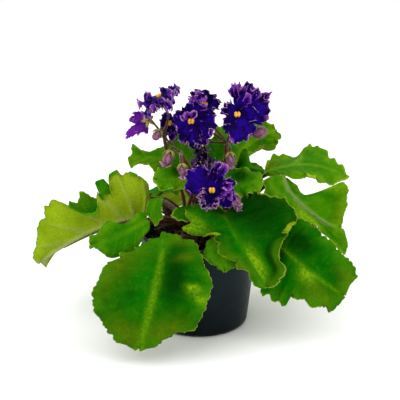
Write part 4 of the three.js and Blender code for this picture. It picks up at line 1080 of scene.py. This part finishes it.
def build_anthers(bloom, place):
    """A pair of pollen sacs side by side, each with a seam along its outer side."""
    name = bloom["name"].replace("bloom", "anthers")
    wide, tall, deep = ANTHER["wide"], ANTHER["tall"], ANTHER["deep"]
    sacs = Shape()
    u = np.linspace(0, math.pi, 15)[1:-1, None]
    v = turns(24)
    for way in (-1, 1):
        middle = way * ANTHER["apart"]
        seam = 1 - ANTHER["seam"] * np.exp(-(np.sin(v) * np.sin(u) / 0.25) ** 2) * (np.cos(v) * way > 0)
        x = middle + wide * np.sin(u) * np.cos(v) * seam
        z = ANTHER["out"] + deep * np.sin(u) * np.sin(v) * seam
        ends = [(middle, tall, ANTHER["out"]), (middle, -tall, ANTHER["out"])]
        solid(sacs, stacked(x, tall * np.cos(u), z), ends, place)
    sacs.build(name + "_sacs", ANTHER_SKIN, "anther", name)


def build_bloom(bloom, rng):
    shape = Shape()
    for petal in bloom["petals"]:
        petal_sheet(shape, bloom, petal, rng)
    for frill in FRILLS.get(bloom["name"], []):
        start = PETAL["ring_start" if frill[4] >= RING_CUP else "frill_start"]
        petal_sheet(shape, bloom, frill, rng, start)
    at, turn = np.array(bloom["at"], float), facing(bloom["face"])

    def place(points):
        return at + points @ turn.T

    r = TUBE["radius"]
    profile = [(0, -TUBE_HEEL), (r * 0.8, -TUBE_HEEL), (r, 0.6 - TUBE_HEEL), (r * 1.05, -2), (r * 1.25, 0.5),
               (r * 1.05, 0.8), (r * 0.7, -0.6), (r * 0.6, -2.4), (0, -2.6)]
    lathe(shape, profile, 24, place, rim=3, under=0.5)
    shape.build(bloom["name"] + "_petals", OTHER_SKINS.get(bloom["name"], PETAL_SKIN), "petal", bloom["name"])
    if bloom.get("spent"):
        return
    build_anthers(bloom, place)
    style = Shape()
    aside = at + turn @ np.array([0.8, -1.2, 0.0])
    front = turn[:, 2]
    tube(style, [at - 2 * front, at + 1.5 * front, aside + 3.2 * front, aside + 5.6 * front],
         RODS["style"], 8, 10)
    style.build(bloom["name"] + "_style", STYLE_SKIN, "petal")


build_all(build_bloom, BLOOMS, SEEDS["blooms"])


def build_bud(bud, rng):
    at, turn, radius = np.array(bud["at"], float), facing(bud["face"]), bud["radius"]
    u = np.linspace(0, math.pi, 31)[1:-1, None]
    v = turns(60)
    fold = np.abs(np.sin((v * 5 + 2.2 * np.cos(u)) / 2)) ** 0.6
    size = radius * (0.9 + 0.1 * fold * np.sin(u)) * (1 + 0.02 * np.sin(9 * u + 3 * v))
    ball = stacked(size * np.sin(u) * np.cos(v), size * np.sin(u) * np.sin(v), size * BUD_LENGTH * np.cos(u))
    pole = 0.9 * radius * BUD_LENGTH
    shape = Shape()
    # The fold field is highest in the grooves between the folds, where bud_skin paints shade.
    points = solid(shape, ball, [(0, 0, pole), (0, 0, -pole)], lambda p: at + p @ turn.T, flip=True,
                   fold=np.r_[(1 - fold).ravel(), 0, 0])
    shape.build(bud["name"] + "_folds", BUD_SKIN, "bud", bud["name"])
    fuzz = Shape()
    scattered_hairs(fuzz, rng, points[:-2], points[:-2] - at, HAIR_NUMBERS["bud"], HAIRS["bud"])
    fuzz.build(bud["name"] + "_hairs", HAIR, "bud")
    if not bud.get("fringe"):
        return
    fringe, stand = Shape(), dict(at=at, face=bud["face"], ruffle=1.3)
    for k in range(bud["fringe"]):
        a = 2 * math.pi * k / bud["fringe"] + rng.uniform(-0.2, 0.2)
        reach = radius * rng.uniform(1.6, 2.2)
        tip = at + turn @ (compass(a, radius * 0.75) + (0, 0, reach))
        petal_sheet(fringe, stand, (*tip, radius * 1.1, 1, 0.7), rng, 0.35)
    fringe.build(bud["name"] + "_fringe", MAUVE_SKIN, "petal")


build_all(build_bud, BUDS, SEEDS["buds"])

# ---------------------------------------------------------------- flower stalks


def sepal_finish():
    f = Finish("sepal_skin", Specular_IOR_Level=0.25, Sheen_Weight=0.2)
    tone = f.mix(f.spots((3, 2), 0.35, 0.65), "A0981C", "7C7414")
    f.colour(f.mix(f.ramp(f.field("along"), 0.5, 1.0, 0.0, 0.7), tone, "4A2038"))
    f.roughness(f.noise(1, 2), 0.5, 0.7)
    f.bump(f.noise(0.8, 2), 0.2, 0.8)
    return f.material


SPRAY_SKIN = stalk_finish("flower_stalk_skin", "4A3408", "5A2E10", (0.05, 0.4))
SEPAL_SKIN = sepal_finish()


def seat(head):
    """Where a stalk meets the head that it bears."""
    face = unit(head["face"])
    depth = TUBE_HEEL if "petals" in head else head["radius"] * BUD_LENGTH
    return np.array(head["at"], float) - face * (depth + GAP + SEPAL["heel"]), face


def add_sepals(shape, fuzz, head, rng):
    """Five narrow pointed leaves behind a head, keeled, their tips leaning forwards."""
    place, face = seat(head)
    turn = facing(face)
    first, last = np.radians(SEPAL["lean_open" if "petals" in head else "lean_shut"])
    length = SEPAL["length"] if "petals" in head else 2.5 + 1.5 * head["radius"]
    u = np.linspace(0, 1, 15)[:, None]
    a = np.linspace(-1, 1, 9)
    bend = first + (last - first) * u
    run = length * np.cumsum(np.sin(bend), axis=0) / len(u)
    rise = length * np.cumsum(np.cos(bend), axis=0) / len(u)
    half = SEPAL["half_width"] * np.sin(math.pi * (0.22 + 0.74 * u)) ** 0.8
    keel = 0.5 * np.abs(a) * half
    for angle in turns(5):
        outward = turn @ compass(angle)
        sideways = turn @ compass(angle + math.pi / 2)
        grid = place + outward * run[..., None] + face * (rise + keel)[..., None]
        grid = grid + sideways * (half * a)[..., None]
        sheet(shape, grid, SEPAL["thickness"] / 2, SEPAL["thickness"] / 2, along=u)
        roots = grid[2:-1, ::2].reshape(-1, 3)
        ways = outward - 0.8 * face + 0.3 * rng.normal(0, 1, roots.shape)
        hairs(fuzz, rng, roots, ways, HAIRS["sepal"])


def build_spray(spray, rng):
    stems, calyx, fuzz = Shape(), Shape(), Shape()
    foot = compass(math.radians(spray["turn"]), SPRAY_RING) + (0, 0, CROWN["top"] + GAP)
    fork = np.array(spray["fork"], float)
    runs = [([foot, foot + (0, 0, 5), *spray["via"], fork], RODS["stem"], 60)]
    for name in spray["heads"]:
        head = HEADS[name]
        place, face = seat(head)
        before = place - face * min(9, 0.3 * np.linalg.norm(place - fork))
        detour = [head["via"]] if "via" in head else []
        runs.append(([fork, *detour, before, place], RODS["side_stalk"], 30))
        add_sepals(calyx, fuzz, head, rng)
    for points, radii, steps in runs:
        grain = Wobble(rng, 5)
        rings, out = tube(stems, points, radii, 12, steps, lambda far, angle: 0.06 * grain(far))
        number = int(rings[..., 0].size * STEM_HAIR_SHARE)
        scattered_hairs(fuzz, rng, rings, out, number, HAIRS["stem"])
    stems.build(spray["name"] + "_stems", SPRAY_SKIN, "stalk", spray["name"])
    calyx.build(spray["name"] + "_sepals", SEPAL_SKIN, "stalk")
    fuzz.build(spray["name"] + "_hairs", HAIR, "stalk")


build_all(build_spray, SPRAYS, SEEDS["sprays"])

# ---------------------------------------------------------------- pot, soil and crown


def pot_finish():
    f = Finish("pot_plastic", Specular_IOR_Level=0.09)
    # Painted shade: the wall grows darker towards the foot, where less light reaches it.
    side = f.mix(f.ramp(f.height(), 0.0, 0.07), "000607", "0C1E24")
    # Painted highlight: the top of the lip is a lighter grey, as glossy plastic that catches the light.
    rim = f.mix(f.ramp(f.height(), 0.082, 0.087), side, "2A2A30")
    f.colour(f.mix(f.spots((25, 3), 0.4, 0.7, 0.0, 0.35), rim, "101E24"))
    f.roughness(f.noise(6, 4), 0.34, 0.46)
    f.bump(f.noise(1.2, 3), 0.06, 0.5)
    return f.material


def grit_finish():
    f = Finish("perlite", Specular_IOR_Level=0.3)
    f.colour(f.mix(f.noise(2, 3), "A79E8E", "6A5E50"))
    f.roughness(f.noise(1, 2), 0.7, 0.9)
    f.bump(f.noise(0.6, 3), 0.3, 0.8)
    return f.material


CRUMB, BARK = (3, 5, 0.7), (4, 4, 0.6)
SOIL_SKIN = grainy_finish("soil_peat", ("060302", "24140C"), (CRUMB, 0.45, 0.75), CRUMB, (0.8, 0.98),
                          CRUMB, 1.4, 1.0, Specular_IOR_Level=0.2)
CROWN_SKIN = grainy_finish("crown_bark", ("5A4420", "7C6A30"), (BARK, 0.35, 0.7), BARK, (0.65, 0.9),
                           BARK, 0.8, 0.9, Specular_IOR_Level=0.2)
WITHERED = stalk_finish("withered_skin", "1E1206", "3A2A0E", (0.1, 0.9))

# Direction in degrees, height on the crown, length and droop of each old stalk's base.
STUBS = [(196, 94, 34, 2), (158, 92, 36, -3), (172, 88, 40, -4), (140, 90, 40, -6), (215, 88, 30, 5),
         (120, 88, 40, -6), (262, 88, 26, 6), (300, 90, 30, 4), (20, 88, 34, -2), (60, 88, 38, -6),
         (345, 92, 30, 2), (95, 90, 38, -8), (182, 99, 30, 2), (238, 95, 24, 4), (150, 98, 34, -11),
         (159, 96, 34, -12), (166, 99, 32, -10), (174, 101, 30, -9), (143, 97, 36, -9), (187, 104, 32, -14),
         (195, 98, 36, -10)]


def wall_radius(z):
    return POT["base"] + (POT["rim"] - POT["step"] - POT["base"]) * z / POT["height"]


def pot_profile():
    """The pot's section, from the middle of its base round the lip to the middle of its floor."""
    corner, height, rim, wall = POT["corner"], POT["height"], POT["rim"], POT["wall"]
    profile = [(0, 0)]
    for degrees in range(0, 91, 10):
        a = math.radians(degrees)
        profile.append((wall_radius(corner) - corner + corner * math.sin(a), corner - corner * math.cos(a)))
    foot = height - POT["lip"]
    profile += [(wall_radius(z), z) for z in np.linspace(corner + 4, foot - 0.6, 16)]
    profile += [(wall_radius(foot) + 0.15, foot), (rim - 0.5, foot + 0.5), (rim, foot + 1),
                (rim, height - 0.9), (rim - 0.25, height - 0.25), (rim - 0.9, height)]
    inner = rim - POT["step"] - wall
    profile += [(inner + 0.5, height), (inner + 0.1, height - 0.3), (inner, height - 0.9)]
    profile += [(wall_radius(z) - wall, z) for z in (height - 6, 40, corner)]
    return profile + [(wall_radius(corner) - corner, POT["floor"]), (0, POT["floor"])]


def build_pot():
    body, drains = Shape(), Shape()
    lathe(body, pot_profile(), 160)
    pot = body.build("pot_body", pot_finish(), "pot", "pot")
    for angle in turns(POT["holes"]):
        shift = compass(angle, POT["ring"])
        lathe(drains, [(0, -4), (POT["hole"], -4), (POT["hole"], 8), (0, 8)], 28, lambda p: p + shift)
    cutter = drains.build("drain_cutter", pot.data.materials[0], "pot")
    cut = pot.modifiers.new("drain_holes", "BOOLEAN")
    cut.operation, cut.solver, cut.object = "DIFFERENCE", "EXACT", cutter
    bpy.context.view_layer.update()
    made = bpy.data.meshes.new_from_object(pot.evaluated_get(bpy.context.evaluated_depsgraph_get()))
    pot.modifiers.clear()
    pot.data = made
    bpy.data.objects.remove(cutter)


SOIL_REACH = wall_radius(SOIL["top"]) - POT["wall"] - GAP


def soil_level(x, y, r):
    """Height of the soil's soft swells, r from the middle, where it sinks towards the wall."""
    swell = SOIL["top"] + SOIL["lump"] * np.sin(x * 0.31 + 1) * np.cos(y * 0.27)
    return swell - SOIL["sink"] * smooth(SOIL_REACH - SOIL["slope"], SOIL_REACH, r)


def build_soil(rng):
    hole, foot = CROWN["radius"] + GAP, CROWN["foot"] - GAP
    radius = np.linspace(hole, SOIL_REACH, 60)[:, None]
    angle = turns(240)[None, :]
    x, y = radius * np.cos(angle), radius * np.sin(angle)
    rough = Wobble(rng, 4)(x + 0.3 * y) * Wobble(rng, 4)(y - 0.4 * x)
    rough = rough + 0.6 * Wobble(rng, 2)(x) * Wobble(rng, 2)(y)
    top = stacked(x, y, soil_level(x, y, radius) + 0.7 * rough)
    inner = stacked(hole * np.cos(angle), hole * np.sin(angle), foot)
    outer = stacked((SOIL_REACH - 2) * np.cos(angle), (SOIL_REACH - 2) * np.sin(angle), SOIL["bottom"])
    soil, grit = Shape(), Shape()
    solid(soil, np.concatenate([outer, top[::-1], inner]), [(0, 0, SOIL["bottom"]), (0, 0, foot)])
    crumbs(soil, rng, SOIL["crumbs"], (0.5, 1.7))
    soil.build("soil_bed", SOIL_SKIN, "soil", "soil")
    crumbs(grit, rng, SOIL["grit"], (0.3, 0.75))
    grit.build("soil_grit", grit_finish(), "soil")


def crumbs(shape, rng, number, sizes):
    """Small angular lumps that lie on the soil."""
    corners = np.array([(x, y, z) for x in (-1, 1) for y in (-1, 1) for z in (-1, 1)], float) * 0.62
    poles = np.array([(1, 0, 0), (-1, 0, 0), (0, 1, 0), (0, -1, 0), (0, 0, 1), (0, 0, -1)], float)
    sides = [(4, 6, 7, 5), (0, 1, 3, 2), (2, 3, 7, 6), (0, 4, 5, 1), (1, 5, 7, 3), (0, 2, 6, 4)]
    faces = [(ring[k], ring[(k + 1) % 4], 8 + pole) for pole, ring in enumerate(sides) for k in range(4)]
    for _ in range(number):
        r = math.sqrt(rng.uniform((CROWN["radius"] + 2) ** 2, (SOIL_REACH - 2) ** 2))
        x, y, _ = compass(rng.uniform(0, 2 * math.pi), r)
        lump = np.vstack([corners, poles]) * rng.uniform(0.7, 1.15, (14, 1))
        lump = lump * rng.uniform(*sizes) * rng.uniform(0.6, 1.2, 3)
        shape.add(lump + (x, y, soil_level(x, y, r)), faces)


def build_crown(rng):
    """The short thick stem, knobbly with the scars of old leaf stalks."""
    z = np.linspace(CROWN["foot"] + 1, CROWN["top"] - 1.5, 60)[:, None]
    angle = turns(72)
    round_off = np.sqrt(np.clip(1 - (np.clip(z - CROWN["shoulder"], 0, 4) / 4.6) ** 2, 0, 1))
    scars = np.cos(5 * angle + 0.5 * z) * np.cos(0.9 * z) * 0.35
    radius = (CROWN["radius"] - 0.45) * (0.72 + 0.28 * round_off) + scars * smooth(60, 66, z)
    rings = stacked(radius * np.cos(angle), radius * np.sin(angle), z)
    crown, fuzz = Shape(), Shape()
    points = solid(crown, rings, [(0, 0, CROWN["foot"]), (0, 0, CROWN["top"])])
    crown.build("crown_stem", CROWN_SKIN, "crown", "crown")
    ways = points[:-2] * (1, 1, 0)
    scattered_hairs(fuzz, rng, points[:-2], ways, HAIR_NUMBERS["crown"], HAIRS["crown"])
    fuzz.build("crown_hairs", HAIR, "crown")


def build_stubs(rng):
    """What is left of old leaves round the crown: withered, hairy bases of their stalks."""
    stubs, fuzz = Shape(), Shape()
    for turn, level, reach, droop in STUBS:
        way = compass(math.radians(turn))
        foot = way * (CROWN["radius"] - 1) + (0, 0, level)
        elbow = foot + way * reach * 0.5 + (0, 0, 2)
        end = foot + way * reach + (0, 0, -droop)
        grain = Wobble(rng, 3)
        rings, out = tube(stubs, [foot, elbow, end], RODS["stub"], 12, 26,
                          lambda far, angle: 0.16 * grain(far) + 0.12 * np.cos(3 * angle + far))
        scattered_hairs(fuzz, rng, rings, out, HAIR_NUMBERS["stub"], HAIRS["crown"])
    stubs.build("crown_stubs", WITHERED, "crown")
    fuzz.build("crown_stub_hairs", HAIR, "crown")


build_pot()
build_soil(np.random.default_rng(SEEDS["soil"]))
build_crown(np.random.default_rng(SEEDS["crown"]))
build_stubs(np.random.default_rng(SEEDS["stubs"]))

# ---------------------------------------------------------------- floor, light and camera

# Places and widths in metres, tilt in degrees. FLOOR is half the floor's width, SKY the strength of the even
# white light from all round. A light is its name, place, width and power, and looks at AIM.
FLOOR = 12.0
AIM = (0, 0, 0.1)
SKY = 0.9
LIGHTS = [("key", (-0.8, -1.1, 1.6), 1.8, 21), ("fill", (1.1, -0.9, 1.0), 1.2, 9),
          ("back", (0.2, 1.3, 1.3), 1.2, 9)]
CAMERA = dict(place=(0, -0.970, 0.428), tilt=17.8, sensor=36, picture=400, focal=1130)


def build_stage():
    scene = bpy.context.scene
    mesh = bpy.data.meshes.new("floor")
    corners = [(-FLOOR, -FLOOR, 0), (FLOOR, -FLOOR, 0), (FLOOR, FLOOR, 0), (-FLOOR, FLOOR, 0)]
    mesh.from_pydata(corners, [], [(0, 1, 2, 3)])
    floor = bpy.data.objects.new("floor", mesh)
    scene.collection.objects.link(floor)
    f = Finish("floor_paper", Specular_IOR_Level=0.0, Roughness=0.9)
    f.colour(f.mix(f.noise(300, 2), "FAFAFA", "FFFFFF"))
    mesh.materials.append(f.material)

    world = bpy.data.worlds.new("studio")
    scene.world = world
    world.use_nodes = True
    sky = world.node_tree.nodes["Background"]
    sky.inputs["Color"].default_value = (1, 1, 1, 1)
    sky.inputs["Strength"].default_value = SKY

    for name, place, size, power in LIGHTS:
        light = bpy.data.lights.new(name, "AREA")
        light.shape, light.size, light.energy = "SQUARE", size, power
        lamp = bpy.data.objects.new(name, light)
        lamp.location = place
        lamp.rotation_mode = "QUATERNION"
        lamp.rotation_quaternion = Vector(np.subtract(AIM, place)).to_track_quat("-Z", "Y")
        scene.collection.objects.link(lamp)


def build_camera():
    """The photo's camera. focal is its focal length in pixels of a picture that is `picture` wide."""
    data = bpy.data.cameras.new("camera")
    data.sensor_width = CAMERA["sensor"]
    data.lens = CAMERA["sensor"] * CAMERA["focal"] / CAMERA["picture"]
    data.clip_start, data.clip_end = 0.05, 50
    camera = bpy.data.objects.new("camera", data)
    camera.location = CAMERA["place"]
    camera.rotation_euler = (math.radians(90 - CAMERA["tilt"]), 0, 0)
    bpy.context.scene.collection.objects.link(camera)
    bpy.context.scene.camera = camera


build_stage()
build_camera()
bpy.context.scene.view_settings.view_transform = "Standard"
bpy.context.scene.view_settings.look = "None"
